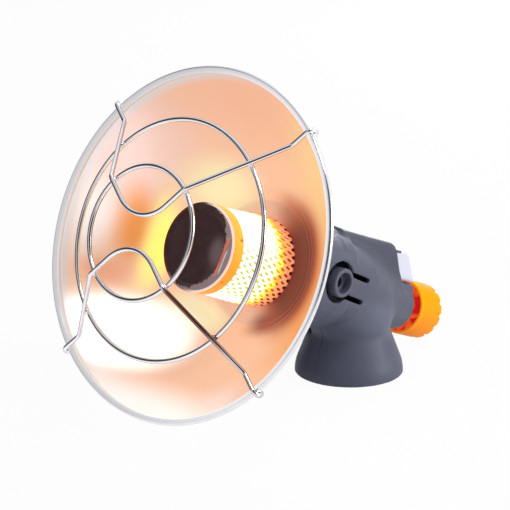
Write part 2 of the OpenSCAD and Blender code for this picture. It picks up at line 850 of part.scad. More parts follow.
// Inlet, stem, barrel and stub in one piece, with the gas passages drilled through them
module valve_body() {
    stem_top = axis_height + knob_rise;
    color(brass) difference() {
        union() {
            cylinder(r = inlet_r, h = inlet_top_z);
            cylinder(r = neck_stem_r, h = stem_top);
            on_axis() {
                translate([0, knob_rise, valve_back_f])
                    cylinder(r = barrel_r, h = valve_front_f - valve_back_f);
                translate([0, 0, valve_front_f - barrel_r])
                    cylinder(r = stub_r, h = stub_front_f - valve_front_f + barrel_r);
            }
        }
        translate([0, 0, -1]) cylinder(r = thread_r, h = thread_len + 1);
        translate([0, 0, thread_len - eps]) cylinder(r = seal_recess_r, h = seal_recess_h + eps);
        translate([0, 0, thread_len]) cylinder(r = pin_r + slip, h = stem_top - thread_len);
        on_axis() {
            translate([0, knob_rise, 0]) {
                stepped_bore(valve_back_f - 1, [
                    [seal_bore_r, seal_front_f + seat], [spindle_thread_r + run, thread_front_f + 2],
                    [spindle_r + run, orifice_f], [passage_r, outlet_f]
                ]);
                translate([0, 0, outlet_f]) rotate([-90, 0, 0]) rod(cross_passage_r, -1.5, 1.5 - knob_rise);
            }
            stepped_bore(outlet_f, [
                [passage_r, stub_front_f - jet_shank_len - seat], [jet_shank_r + slip, stub_front_f + 1]
            ]);
        }
    }
}

module cartridge_seal() {
    color(black_rubber) translate([0, 0, thread_len + slip])
        tube(seal_recess_r - seat, thread_r / 2, seal_recess_h - 2 * slip);
}

// Hollow pin inside the seal, which opens the cartridge's valve once it is screwed home
module opening_pin() {
    color(brass) translate([0, 0, thread_len + seat]) tube(pin_r, pin_bore_r, pin_len);
}

module gland_nut() {
    h = gland_front_f - gland_back_f - seat;
    color(brass) on_axis() translate([0, knob_rise, gland_back_f]) difference() {
        hexagon(gland_af, h);
        translate([0, 0, -1]) cylinder(r = spindle_r + run, h = h + 2);
    }
}

// Needle spindle with its thread, its seal's groove and the tapped end for the knob's screw
module spindle() {
    back_f = knob_web_f - knob_web_t;
    color(steel) on_axis() translate([0, knob_rise, 0]) difference() {
        union() {
            translate([0, 0, back_f]) cylinder(r = spindle_r, h = needle_f - back_f);
            rod(spindle_thread_r, thread_back_f, thread_front_f);
            translate([0, 0, needle_f])
                cylinder(r1 = spindle_r, r2 = needle_tip_r, h = needle_tip_f - needle_f);
        }
        translate([0, 0, seal_front_f - seal_w - slip])
            tube(spindle_r + 1, spindle_r - seal_groove, seal_w + 2 * slip);
        translate([0, 0, back_f - 1]) cylinder(r = knob_screw_r + slip, h = screw_in_spindle + 1 + air);
    }
}

module spindle_seal() {
    color(black_rubber) on_axis() translate([0, knob_rise, seal_front_f - seal_w])
        tube(seal_bore_r - run, spindle_r - seal_groove + run, seal_w);
}

// ---- Knob ----

// Cup that opens towards the nose, with a smooth side and finger notches round its back
module knob() {
    color(plastic_orange) on_axis() translate([0, knob_rise, 0]) difference() {
        union() {
            difference() {
                union() {
                    translate([0, 0, knob_back_f + knob_edge]) cylinder(r = knob_r, h = knob_len - knob_edge);
                    translate([0, 0, knob_back_f])
                        cylinder(r1 = knob_r - knob_edge, r2 = knob_r, h = knob_edge + eps);
                }
                translate([0, 0, knob_web_f]) cylinder(r = knob_r - knob_wall, h = knob_len);
                for (i = [1 : knob_notches]) rotate([0, 0, i * 360 / knob_notches])
                    translate([knob_r + knob_notch_r - knob_notch_depth, 0, knob_back_f - 1])
                        cylinder(r = knob_notch_r, h = knob_notch_len + 1, $fn = 32);
            }
            rod(knob_hub_r, knob_web_f - eps, knob_front_f - knob_hub_in);
            intersection() {
                translate([0, 0, knob_web_f - eps]) cylinder(r = knob_r - knob_wall / 2, h = knob_rib_h);
                for (a = [30 : 60 : 150]) rotate([0, 0, a]) translate([0, 0, knob_web_f])
                    cube([knob_d, knob_rib_t, knob_len], center = true);
            }
        }
        translate([0, 0, knob_back_f - 1]) cylinder(r = knob_recess_r, h = knob_recess_depth + 1);
        translate([0, 0, knob_web_f - knob_web_t - eps]) cylinder(r = spindle_r + slip, h = knob_len);
    }
}

module knob_screw() {
    seat_f = knob_web_f - knob_web_t;
    color(steel) on_axis() translate([0, knob_rise, seat_f - knob_screw_head_h]) difference() {
        union() {
            cylinder(r = knob_screw_head_r, h = knob_screw_head_h - slip);
            cylinder(r = knob_screw_r, h = knob_screw_head_h + screw_in_spindle);
        }
        cross_slot(knob_screw_head_r * 1.3);
    }
}

// ---- Igniter ----

// Side view of the button, made smaller by g; it is open in front where g is a wall
module button_side(g) {
    r = button_corner_r - g / 2;
    top = button_top - g;
    bottom = button_bottom + g;
    front = g > 0 ? button_front_f + 1 : button_front_f;
    c = [button_back(top - r, g) + r / cos(button_lean), top - r];
    toe = [button_back(bottom + button_toe, g), bottom + button_toe];
    polygon(concat(
        [[front, bottom], [front, top]],
        arc(c, r, 90, 180 - button_lean, 6),
        [toe, [toe[0] + button_toe_len, bottom]]
    ));
}

// Push button with a slanted face, which slides along the reflector's axis
module igniter_button() {
    inner = button_w / 2 - button_wall;
    back_f = button_back(button_bottom, 0);
    color(plastic_white) on_axis() difference() {
        union() {
            difference() {
                across(-button_w / 2, button_w / 2) button_side(0);
                across(-inner, inner) button_side(button_wall);
            }
            intersection() {
                across(-button_w / 2, button_w / 2) button_side(0);
                translate([0, igniter_rise, 0])
                    rod(plunger_r + button_hub_wall, back_f, plunger_back_f + button_hub_len);
            }
        }
        translate([0, igniter_rise, 0]) rod(plunger_r + slip, plunger_back_f - seat, button_front_f);
    }
}

// Rod behind the button that drives the igniter's hammer
module igniter_plunger() {
    color(igniter_brown) on_axis() translate([0, igniter_rise, plunger_back_f])
        cylinder(r = plunger_r, h = plunger_front_f - plunger_back_f);
}

module piezo_igniter() {
    color(igniter_black) on_axis() translate([0, igniter_rise, 0]) difference() {
        union() {
            rod(igniter_r, igniter_back_f, igniter_front_f);
            rod(contact_r, igniter_front_f - 1, contact_front_f);
        }
        rod(plunger_r + run, igniter_back_f - 1, igniter_bore_f);
    }
}

module igniter_spring() {
    steps = 10;
    r = plunger_r - spring_wire / 2 - spring_gap;
    f0 = plunger_front_f + spring_wire / 2 + seat;
    f1 = igniter_bore_f - spring_wire / 2 - seat;
    turn = 360 / steps;
    rise = (f1 - f0) / (spring_turns * steps);
    path = [for (i = [0 : spring_turns * steps]) [r * cos(turn * i), r * sin(turn * i), f0 + rise * i]];
    color(steel) on_axis() translate([0, igniter_rise, 0]) swept_bar(path, [0, 0, 1], spring_wire / 2, 6);
}

// ---- Ignition ----

module ignition_lead() {
    color(black_rubber) on_axis() swept_bar(lead_path, [0, 1, 0], lead_r, 8);
}

module electrode_insulator() {
    color(ceramic_white) on_axis() translate([electrode_x, 0, insulator_back_f]) difference() {
        union() {
            cylinder(r = insulator_r, h = insulator_front_f - insulator_back_f);
            cylinder(r = insulator_flange_r, h = floor_f - insulator_back_f - seat);
        }
        rod(electrode_r + slip, -1, 2 * (insulator_front_f - insulator_back_f));
    }
}

// Spark wire, whose end is bent towards the mesh
module electrode() {
    color(steel) on_axis() translate([electrode_x, 0, 0]) {
        rod(electrode_r, insulator_back_f, electrode_front_f);
        translate([0, 0, electrode_front_f]) sphere(r = electrode_r);
        translate([0, 0, electrode_front_f]) rotate([0, 90, 0]) rod(electrode_r, 0, electrode_reach);
    }
}

// ---- Guard ----

// Points of the bend of radius r at b on the way from a to c
function bend(a, b, c, r) =
    let (into = (b - a) / norm(b - a), away = (c - b) / norm(c - b), side = sign(cross(into, away)),
        turn = acos(into * away), first = b - r * tan(turn / 2) * into,
        middle = first + side * r * [-into[1], into[0]], start = atan2(into[1], into[0]) - 90 * side)
    arc(middle, r, start, start + side * turn, 5);

leg_crest = [bead_ring_r, hook_r];

// Middle line of a leg from the flat middle to its hook, as distance from the axis and height
leg_path = let (inner = [kink_r, guard_rise], foot = [leg_foot_r, hook_r]) concat(
    bend([bend_r, guard_rise], inner, foot, leg_bend_r),
    bend(inner, foot, leg_crest, leg_bend_r),
    arc([bead_ring_r, 0], hook_r, 90, -hook_end, 14)
);

// Two legs at right angles, joined by a bend beside the axis
module guard_wire() {
    last = len(leg_path) - 1;
    path = concat(
        [for (i = [last : -1 : 0]) [leg_path[i][0], 0, leg_path[i][1]]],
        [for (p = arc([bend_r, bend_r], bend_r, 270, 180, 14)) [p[0], p[1], guard_rise]],
        [for (p = leg_path) [0, p[0], p[1]]]
    );
    swept_bar(path, [1, 1, 0], wire_r, 12);
}

module guard_wire_upper() {
    color(steel) at_rim() rotate([0, 0, 45 + guard_turn]) guard_wire();
}

module guard_wire_lower() {
    color(steel) at_rim() rotate([0, 0, 225 + guard_turn]) guard_wire();
}

module guard_ring(d, h) {
    color(steel) at_rim() translate([0, 0, h]) rotate_extrude() translate([d / 2, 0]) circle(r = wire_r);
}

module guard_ring_outer() {
    guard_ring(ring_outer_d, leg_height(ring_outer_d / 2) - ring_drop);
}

module guard_ring_inner() {
    guard_ring(ring_inner_d, guard_rise - wire_d - slip);
}

housing_right();
housing_left();
housing_screws();
reflector();
mounting_collar();
reflector_nut();
burner_cup();
burner_mesh();
flame_diffuser();
burner_band();
burner_cap();
mixing_tube();
gas_jet();
valve_body();
cartridge_seal();
opening_pin();
gland_nut();
spindle();
spindle_seal();
knob();
knob_screw();
igniter_button();
igniter_plunger();
igniter_spring();
piezo_igniter();
ignition_lead();
electrode_insulator();
electrode();
guard_wire_upper();
guard_wire_lower();
guard_ring_outer();
guard_ring_inner();
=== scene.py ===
import math

import bmesh
import bpy
import numpy as np
from bpy.props import FloatProperty, FloatVectorProperty, IntProperty, PointerProperty
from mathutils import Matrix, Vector


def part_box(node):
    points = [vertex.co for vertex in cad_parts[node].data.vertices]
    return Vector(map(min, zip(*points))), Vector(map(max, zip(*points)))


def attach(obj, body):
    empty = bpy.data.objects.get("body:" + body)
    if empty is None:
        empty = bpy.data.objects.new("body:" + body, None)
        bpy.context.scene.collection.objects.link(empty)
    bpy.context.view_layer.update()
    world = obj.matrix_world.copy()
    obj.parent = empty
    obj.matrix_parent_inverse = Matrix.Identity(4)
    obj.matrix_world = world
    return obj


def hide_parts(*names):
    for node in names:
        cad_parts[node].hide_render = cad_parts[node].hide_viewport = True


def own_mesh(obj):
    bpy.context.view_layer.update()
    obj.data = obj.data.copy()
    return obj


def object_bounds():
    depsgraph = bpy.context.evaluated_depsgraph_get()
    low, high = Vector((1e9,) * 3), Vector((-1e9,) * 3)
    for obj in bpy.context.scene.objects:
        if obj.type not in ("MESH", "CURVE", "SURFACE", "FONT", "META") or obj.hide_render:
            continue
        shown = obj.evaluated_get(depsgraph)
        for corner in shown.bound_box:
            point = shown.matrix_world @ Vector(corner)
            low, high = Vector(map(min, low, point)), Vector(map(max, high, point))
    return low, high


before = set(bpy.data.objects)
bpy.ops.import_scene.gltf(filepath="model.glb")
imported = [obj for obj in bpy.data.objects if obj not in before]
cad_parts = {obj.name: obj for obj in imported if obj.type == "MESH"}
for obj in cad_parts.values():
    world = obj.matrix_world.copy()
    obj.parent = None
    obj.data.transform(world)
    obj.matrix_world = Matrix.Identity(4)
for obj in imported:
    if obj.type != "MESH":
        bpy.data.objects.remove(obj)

bl_info = {
    "name": "Gas heater head",
    "version": (1, 0, 0),
    "blender": (4, 5, 0),
    "location": "View3D > Sidebar > Heater",
    "description": "Builds the dressed pieces of a gas heater head on its construction frame",
    "category": "Object",
}

CAD_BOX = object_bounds()

# Sizes of the construction, in millimetres. Places along the reflector's axis are measured from
# where it crosses the cartridge's axis, and heights off it from the axis itself. The skirt, neck,
# inlet and valve are measured up the cartridge's axis instead, from the mouth of its thread.
MM = 0.001
TILT = math.radians(21.5)
AXIS_HEIGHT = 32.4

# Reflector
RIM = 113.0
FLOOR = 65.0
SHEET = 0.6
DISH_BOW = 3.0
BEAD_RING_R = 73.5
BEAD_R = 1.5
FLOOR_R = 27.0
HUB_HOLE_R = 9.05
CORNER_R = 2.6

# Burner
MESH_BACK = 65.7
BAND_BACK = 99.1
BAND_FRONT = 104.9
BAND_R = 18.95
CAP_BEVEL = 3.4

# Guard
WIRE_R = 1.0
HOOK_R = BEAD_R + WIRE_R + 0.1
WIRE_STEP = 2.05
WELD_LIFT = 1.03
GUARD_RISE = 31.2
GUARD_BEND_R = 17.4
LEG_BREAK_R = 28.55
LEG_FOOT_R = 65.5
RING_OUTER_R = 50.0
RING_INNER_R = 27.5
LEG_TURNS = (48, 138, 228, 318)

# Knob
KNOB_RISE = -4.2
KNOB_FRONT = -40.6
KNOB_BACK = -56.6
KNOB_R = 12.7
KNOB_WALL = 1.5
KNOB_BORE_R = 6.4
KNOB_WEB = KNOB_BACK + 4.8
KNOB_RIBS = (30, 90, 150, 210, 270, 330)

# Button
IGNITER_RISE = 13.0
BUTTON_LEAN = math.radians(38)
BUTTON_HALF = 7.5
BUTTON_TOP = 20.6
BUTTON_FOOT = 7.4
BUTTON_WALL = 1.4
PLUNGER_BACK = -29.3
PLUNGER_R = 3.3
BUTTON_DEPTH = 14.0
BUTTON_FRONT = -13.0
BUTTON_HUB_R = 4.4
BUTTON_HUB_FRONT = -22.5

# Housing
SPINE_LEAN = math.radians(34)
SPINE_FACE = -19.6
SPINE_TOP = 22.5
SPINE_HALF = 10.6
SPINE_TOE = 3.0
SPINE_FRONT = 27.5
SPINE_ROOT = -6.0
SIDE_HALF = 19.8
BELLY_R = 21.5
BELLY_ARC = 120.0
BELLY_FRONT = 30.0
HOOD_R = 22.6
HOOD_BACK = 23.5
HOOD_FRONT = 58.0
NOSE_END = -36.6
NOSE_R = 11.2
NECK_R = 19.5
NECK_TOP = 20.0
SKIRT_R = 24.4
SKIRT_TOP_R = 17.8
SKIRT_FOOT = -8.0
SKIRT_ARC = 20.0
SKIRT_STRAIGHT = 4.0
SKIRT_FLARE = 17.0
SKIRT_TOP = 13.4
SCREW_BOSS_R = 3.2
SCREW_HOLE_R = 1.45
SCREW_HEAD_R = 2.8
SCREW_REACH = 8.4
FRONT_HEAD_X = 13.2
NECK_HEAD_X = 8.6
SOCKET_F = 32.5
SOCKET_R = 6.35
SOCKET_X = (13.9, 22.3)
SOCKET_BORE_R = 2.3
SOCKET_BORE_X = 13.0
SOCKET_MOUTH_R = 4.6
SOCKET_MOUTH_X = 18.8
TONGUE_GAP_R = 9.2
TONGUE_GAP_X = 16.1
TONGUE_HALF = 3.9
SLOT_PLACES = (-5.0, 5.0)
SLOT_LENGTH = 19.5
SLOT_FRONT = -5.5
SLOT_LEAN = math.radians(4.5)
SLOT_R = 1.1
CAVITY_R = 10.4
CAVITY_X = 11.6
CAVITY_BACK = 14.0
CAVITY_FLOOR_HALF = 0.6
INLET_R = 9.05
INLET_TOP = 24.0
VALVE_R = 7.05
VALVE_HOLD_Z = (10.0, 12.5)
GLAND_HOLD_R = 10.1
GLAND_HOLD_F = (-34.4, -30.4)
TUBE_WAY_R = 10.5
TUBE_WAY_F = 12.0
COLLAR_R = 17.05
COLLAR_BACK = 51.9
COLLAR_HOLD_F = (50.6, 57.99)
COLLAR_LIP_R = 18.25
COLLAR_LIP_F = (53.9, 55.7)
IGNITER_R = 4.85
IGNITER_F = (-8.6, 19.0)
IGNITER_HOLD_F = -1.6
IGNITER_HOLD_HALF = (6.3, 2.5)
TAB_X = 9.2
TAB_RISE = 19.5
TAB_F = -15.0
TAB_HALF = (1.3, 0.55, 2.5)
CHIN_HALF = 7.0
CHIN_TOP = 6.2
CHIN_FRONT = -10.0
POCKET_HALF = 7.9
POCKET_FLOOR = 7.2
POCKET_ROOF = 20.95
POCKET_END = -7.6

# How far what is inside a moulding stays below its skin
SINK = 0.05


def paint(red, green, blue):
    """Linear colour of a display colour given from 0 to 255."""
    def channel(c):
        c = c / 255
        return c / 12.92 if c <= 0.04045 else ((c + 0.055) / 1.055) ** 2.4
    return (channel(red), channel(green), channel(blue), 1.0)


# ---- Frames and mesh helpers ----

def off_axis(points):
    """World points in metres of points given as across, upward and forward on the reflector's axis."""
    p = np.asarray(points, float)
    x, v, f = p[..., 0], p[..., 1], p[..., 2]
    s, c = math.sin(TILT), math.cos(TILT)
    return np.stack([x, v * s - f * c, AXIS_HEIGHT + v * c + f * s], -1) * MM


def onto_axis(p):
    """Across, upward and forward on the reflector's axis of world points in millimetres."""
    s, c = math.sin(TILT), math.cos(TILT)
    y, z = p[:, 1], p[:, 2] - AXIS_HEIGHT
    return p[:, 0], y * s + z * c, z * s - y * c


def mesh_object(name, points, faces, smooth_angle=35.0):
    """Mesh object in the scene, smooth but for edges over an angle."""
    mesh = bpy.data.meshes.new(name)
    mesh.from_pydata(np.asarray(points, float).tolist(), [], [list(f) for f in faces])
    mesh.validate()
    obj = bpy.data.objects.new(name, mesh)
    bpy.context.scene.collection.objects.link(obj)
    shade(obj, smooth_angle)
    return obj


def shade(obj, angle):
    """Smooths a mesh's shading, but for edges over an angle in degrees."""
    mesh = obj.data
    mesh.polygons.foreach_set("use_smooth", [True] * len(mesh.polygons))
    mesh.set_sharp_from_angle(angle=math.radians(angle))
    mesh.update()


def face_outwards(obj, merge=1e-7):
    """Merges doubles and turns every face of a closed mesh outwards."""
    work = bmesh.new()
    work.from_mesh(obj.data)
    bmesh.ops.remove_doubles(work, verts=work.verts, dist=merge)
    bmesh.ops.recalc_face_normals(work, faces=work.faces)
    work.to_mesh(obj.data)
    work.free()
    obj.data.update()
    return obj


def ring_faces(rings, sides, close_rings, close_sides=True):
    """Quads between rings of points that are numbered ring after ring."""
    faces = []
    for i in range(rings if close_rings else rings - 1):
        a, b = i * sides, (i + 1) % rings * sides
        for j in range(sides if close_sides else sides - 1):
            k = (j + 1) % sides
            faces.append((a + j, a + k, b + k, b + j))
    return faces


def lathe(name, profile, turns=192, closed=True, place=off_axis, centre=(0.0, 0.0), angle=35.0):
    """Round piece about an axis, from a profile of radius and forward place; radius 0 is a pole."""
    profile = np.asarray(profile, float)
    a = np.arange(turns) / turns * 2 * math.pi
    r, f = profile[:, 0, None], profile[:, 1, None]
    points = np.stack([centre[0] + r * np.cos(a), centre[1] + r * np.sin(a), f + 0 * a], -1)
    faces = ring_faces(len(profile), turns, closed)
    obj = mesh_object(name, place(points.reshape(-1, 3)), faces, angle)
    face_outwards(obj)
    shade(obj, angle)
    return obj


def sweep(name, path, radius, sides=14, closed=False, place=off_axis, angle=60.0):
    """Round bar along a path, with frames that don't twist and rounded-off ends."""
    path = np.asarray(path, float)
    n = len(path)
    if closed:
        heading = np.roll(path, -1, 0) - np.roll(path, 1, 0)
    else:
        heading = np.gradient(path, axis=0)
    heading /= np.linalg.norm(heading, axis=1)[:, None]
    u = np.cross(heading[0], [0.3, 0.2, 1.0] if abs(heading[0][2]) < 0.9 else [1.0, 0.1, 0.0])
    rings = []
    for i in range(n):
        u = u - heading[i] * (u @ heading[i])
        u /= np.linalg.norm(u)
        rings.append((u.copy(), np.cross(heading[i], u)))
    if closed:
        first, last = rings[0][0], rings[-1][0]
        miss = math.atan2(np.cross(first, last) @ heading[0], first @ last)
        for i in range(n):
            t = -miss * i / n
            a, b = rings[i]
            rings[i] = (a * math.cos(t) + b * math.sin(t), b * math.cos(t) - a * math.sin(t))
    angles = np.arange(sides) / sides * 2 * math.pi
    bulge = 0.35 * radius
    rows = []
    if not closed:
        for t in (0.97, 0.8, 0.45):
            rows.append((path[0] - heading[0] * bulge * t, rings[0], radius * math.sqrt(1 - t * t)))
    for i in range(n):
        rows.append((path[i], rings[i], radius))
    if not closed:
        for t in (0.45, 0.8, 0.97):
            rows.append((path[-1] + heading[-1] * bulge * t, rings[-1], radius * math.sqrt(1 - t * t)))
    points = [c + r * (np.cos(angles)[:, None] * a + np.sin(angles)[:, None] * b) for c, (a, b), r in rows]
    faces = ring_faces(len(rows), sides, closed)
    if not closed:
        faces.append(tuple(range(sides)))
        faces.append(tuple((len(rows) - 1) * sides + j for j in range(sides)))
    obj = mesh_object(name, place(np.concatenate(points)), faces, angle)
    face_outwards(obj)
    shade(obj, angle)
    return obj


def arc(centre, r, a, b, n):
    """Points of an arc from angle a to angle b, in degrees."""
    t = np.radians(np.linspace(a, b, n + 1))
    return np.stack([centre[0] + r * np.cos(t), centre[1] + r * np.sin(t)], -1)


def bend(a, b, c, r, n=10):
    """Points of the bend of radius r at b, on the way from a to c."""
    a, b, c = (np.asarray(p, float) for p in (a, b, c))
    into, away = (b - a) / np.linalg.norm(b - a), (c - b) / np.linalg.norm(c - b)
    side = math.copysign(1, into[0] * away[1] - into[1] * away[0])
    turn = math.acos(np.clip(into @ away, -1, 1))
    middle = b - r * math.tan(turn / 2) * into + side * r * np.array([-into[1], into[0]])
    start = math.degrees(math.atan2(into[1], into[0])) - 90 * side
    return arc(middle, r, start, start + side * math.degrees(turn), n)


def smooth_min(a, b, k):
    """Smaller of two distances, with their meeting rounded over k."""
    h = np.clip(0.5 + 0.5 * (b - a) / k, 0, 1)
    return b * (1 - h) + a * h - k * h * (1 - h)


def smooth_max(a, b, k):
    """Larger of two distances, with their meeting rounded over k."""
    return -smooth_min(-a, -b, k)


def between(value, low, high):
    """Distance past either end of a stretch, less than 0 inside it."""
    return np.maximum(low - value, value - high)


def contour(distance, low, high, step):
    """Points and outward quads of the surface where the distance is 0, with its edges kept crisp."""
    low, high = np.asarray(low, float), np.asarray(high, float)
    counts = np.ceil((high - low) / step).astype(int) + 1
    axes = [low[i] + step * np.arange(counts[i]) for i in range(3)]
    field = np.empty(counts)
    for i, x in enumerate(axes[0]):
        y, z = np.meshgrid(axes[1], axes[2], indexing="ij")
        field[i] = distance(np.stack([np.full(y.size, x), y.ravel(), z.ravel()], -1)).reshape(y.shape)
    inside = field < 0
    stride = np.array([counts[1] * counts[2], counts[2], 1])
    hits, cells, quads = [], [], []
    total = 0
    for axis in range(3):
        near = [slice(None)] * 3
        far = [slice(None)] * 3
        near[axis], far[axis] = slice(0, -1), slice(1, None)
        near, far = tuple(near), tuple(far)
        where = np.argwhere(inside[near] != inside[far])
        d0, d1 = field[near][tuple(where.T)], field[far][tuple(where.T)]
        p = low + where * step
        p[:, axis] += step * d0 / (d0 - d1)
        b, c = (axis + 1) % 3, (axis + 2) % 3
        corners = []
        for shift_b, shift_c in ((-1, -1), (0, -1), (0, 0), (-1, 0)):
            cell = where.copy()
            cell[:, b] += shift_b
            cell[:, c] += shift_c
            corners.append(cell @ stride)
        corners = np.stack(corners, -1)
        grows = d0 < 0
        quads.append(np.where(grows[:, None], corners, corners[:, ::-1]))
        hits.append(p)
        crossing = np.repeat(total + np.arange(len(p))[:, None], 4, 1)
        cells.append(np.stack([corners, crossing], -1).reshape(-1, 2))
        total += len(p)
    hits, cells, quads = np.concatenate(hits), np.concatenate(cells), np.concatenate(quads)
    h = 0.02
    slope = np.stack([distance(hits + h * e) - distance(hits - h * e) for e in np.eye(3)], -1)
    slope /= np.linalg.norm(slope, axis=1)[:, None] + 1e-12
    names, index = np.unique(cells[:, 0], return_inverse=True)
    n = slope[cells[:, 1]]
    p = hits[cells[:, 1]]
    count = np.bincount(index).astype(float)
    middle = np.stack([np.bincount(index, p[:, i]) for i in range(3)], -1) / count[:, None]
    away = np.einsum("ij,ij->i", n, p - middle[index])
    matrix = np.empty((len(names), 3, 3))
    for i in range(3):
        for j in range(3):
            matrix[:, i, j] = np.bincount(index, n[:, i] * n[:, j])
    matrix += np.eye(3) * (0.06 * count)[:, None, None]
    right = np.stack([np.bincount(index, n[:, i] * away) for i in range(3)], -1)
    points = middle + np.clip(np.linalg.solve(matrix, right[..., None])[..., 0], -0.75 * step, 0.75 * step)
    return points, np.searchsorted(names, quads)


# ---- Node helpers ----

def put(tree, kind, *values, **settings):
    """Adds a node, fills its inputs in order with values or links, and gives it back."""
    made = tree.nodes.new(kind)
    for name, value in settings.items():
        setattr(made, name, value)
    for socket, value in zip([s for s in made.inputs if s.enabled], values):
        join(tree, value, socket)
    return made


def join(tree, value, socket):
    """Links a node or a socket to a socket, or sets the socket to a plain value."""
    if isinstance(value, bpy.types.Node):
        value = next(s for s in value.outputs if s.enabled)
    if isinstance(value, bpy.types.NodeSocket):
        tree.links.new(value, socket)
    elif value is not None:
        socket.default_value = value


def sums(tree, operation, *values):
    """Result of a maths node."""
    return put(tree, "ShaderNodeMath", *values, operation=operation).outputs[0]


def vectors(tree, operation, *values):
    """Result of a vector maths node, a value or a vector as the operation gives."""
    made = put(tree, "ShaderNodeVectorMath", *values, operation=operation)
    plain = operation in ("LENGTH", "DOT_PRODUCT", "DISTANCE")
    return made.outputs["Value" if plain else "Vector"]


def product(tree, *values):
    """Product of any number of values."""
    result = values[0]
    for value in values[1:]:
        result = sums(tree, "MULTIPLY", result, value)
    return result


def size_of(tree, value):
    """The value without its sign."""
    return sums(tree, "ABSOLUTE", value)


def scaled(tree, vector, factor):
    """A vector times a value."""
    made = tree.nodes.new("ShaderNodeVectorMath")
    made.operation = "SCALE"
    join(tree, vector, made.inputs["Vector"])
    join(tree, factor, made.inputs["Scale"])
    return made.outputs["Vector"]


def span(tree, value, low, high, to_low=0.0, to_high=1.0, kind="SMOOTHSTEP"):
    """Maps a value from one range to another, and holds it at the ends."""
    return put(tree, "ShaderNodeMapRange", value, low, high, to_low, to_high, interpolation_type=kind,
               clamp=True).outputs["Result"]


def mixed(tree, factor, a, b, blend="MIX"):
    """Mixes two colours."""
    made = tree.nodes.new("ShaderNodeMix")
    made.data_type = "RGBA"
    made.blend_type = blend
    join(tree, factor, made.inputs[0])
    join(tree, a, made.inputs[6])
    join(tree, b, made.inputs[7])
    return made.outputs[2]


def noise(tree, vector, scale, detail=2.0, roughness=0.5, distortion=0.0):
    """Noise between 0 and 1, finer as the scale grows."""
    made = tree.nodes.new("ShaderNodeTexNoise")
    join(tree, vector, made.inputs["Vector"])
    join(tree, scale, made.inputs["Scale"])
    made.inputs["Detail"].default_value = detail
    made.inputs["Roughness"].default_value = roughness
    made.inputs["Distortion"].default_value = distortion
    return made.outputs["Fac"]


def ramp(tree, value, *stops):
    """Colour ramp whose stops are pairs of place and colour."""
    made = tree.nodes.new("ShaderNodeValToRGB")
    join(tree, value, made.inputs[0])
    marks = made.color_ramp.elements
    while len(marks) < len(stops):
        marks.new(0.5)
    for mark, (place, colour) in zip(marks, stops):
        mark.position = place
        mark.color = colour
    return made.outputs["Color"]


def new_group(name, inputs, outputs):
    """Shader node group with its input and output sockets."""
    group = bpy.data.node_groups.new(name, "ShaderNodeTree")
    for label, kind, default in inputs:
        socket = group.interface.new_socket(label, in_out="INPUT", socket_type=kind)
        if default is not None:
            socket.default_value = default
    for label, kind in outputs:
        group.interface.new_socket(label, in_out="OUTPUT", socket_type=kind)
    return group, group.nodes.new("NodeGroupInput").outputs, group.nodes.new("NodeGroupOutput").inputs


def axis_group():
    """Place on the reflector's axis, in millimetres: across, upward and forward."""
    if "Place on axis" in bpy.data.node_groups:
        return bpy.data.node_groups["Place on axis"]
    group, given, out = new_group("Place on axis", [("Position", "NodeSocketVector", None)],
                                  [("Place", "NodeSocketVector"), ("Distance", "NodeSocketFloat")])
    moved = vectors(group, "SUBTRACT", given["Position"], (0, 0, AXIS_HEIGHT * MM))
    turned = put(group, "ShaderNodeVectorRotate", rotation_type="X_AXIS")
    join(group, moved, turned.inputs["Vector"])
    turned.inputs["Angle"].default_value = TILT - math.pi / 2
    place = scaled(group, turned.outputs["Vector"], 1 / MM)
    flat = vectors(group, "MULTIPLY", place, (1, 1, 0))
    join(group, place, out["Place"])
    join(group, vectors(group, "LENGTH", flat), out["Distance"])
    return group


def grain_group():
    """Fine moulded grain: a height for bumps and a slight shade that changes from place to place."""
    if "Moulded grain" in bpy.data.node_groups:
        return bpy.data.node_groups["Moulded grain"]
    group, given, out = new_group("Moulded grain", [
        ("Position", "NodeSocketVector", None), ("Grain", "NodeSocketFloat", 1800.0),
        ("Patches", "NodeSocketFloat", 45.0)],
        [("Height", "NodeSocketFloat"), ("Shade", "NodeSocketFloat")])
    fine = noise(group, given["Position"], given["Grain"], 3.0, 0.65)
    broad = noise(group, given["Position"], given["Patches"], 2.0, 0.5)
    join(group, fine, out["Height"])
    join(group, span(group, broad, 0.3, 0.7, kind="LINEAR"), out["Shade"])
    return group


def wear_group():
    """Marks of handling, as a value between a low and a high roughness."""
    if "Handling marks" in bpy.data.node_groups:
        return bpy.data.node_groups["Handling marks"]
    group, given, out = new_group("Handling marks", [
        ("Position", "NodeSocketVector", None), ("Size", "NodeSocketFloat", 90.0),
        ("Low", "NodeSocketFloat", 0.35), ("High", "NodeSocketFloat", 0.5)],
        [("Roughness", "NodeSocketFloat")])
    soft = noise(group, given["Position"], given["Size"], 4.0, 0.6, 0.4)
    amount = span(group, soft, 0.35, 0.65, kind="LINEAR")
    width = sums(group, "SUBTRACT", given["High"], given["Low"])
    join(group, sums(group, "MULTIPLY_ADD", amount, width, given["Low"]), out["Roughness"])
    return group


def spun_group():
    """Fine rings that a lathe or a spinning tool leaves, as a height."""
    if "Spun rings" in bpy.data.node_groups:
        return bpy.data.node_groups["Spun rings"]
    group, given, out = new_group("Spun rings", [
        ("Distance", "NodeSocketFloat", 0.0), ("Rings", "NodeSocketFloat", 3.0)],
        [("Height", "NodeSocketFloat")])
    line = put(group, "ShaderNodeCombineXYZ", product(group, given["Distance"], given["Rings"]), 0.0, 0.0)
    join(group, noise(group, line.outputs[0], 1.0, 3.0, 0.7), out["Height"])
    return group


def use_group(tree, group, **values):
    """Places a node group with its own values, and gives back its outputs."""
    made = tree.nodes.new("ShaderNodeGroup")
    made.node_tree = group
    for name, value in values.items():
        join(tree, value, made.inputs[name])
    return made.outputs


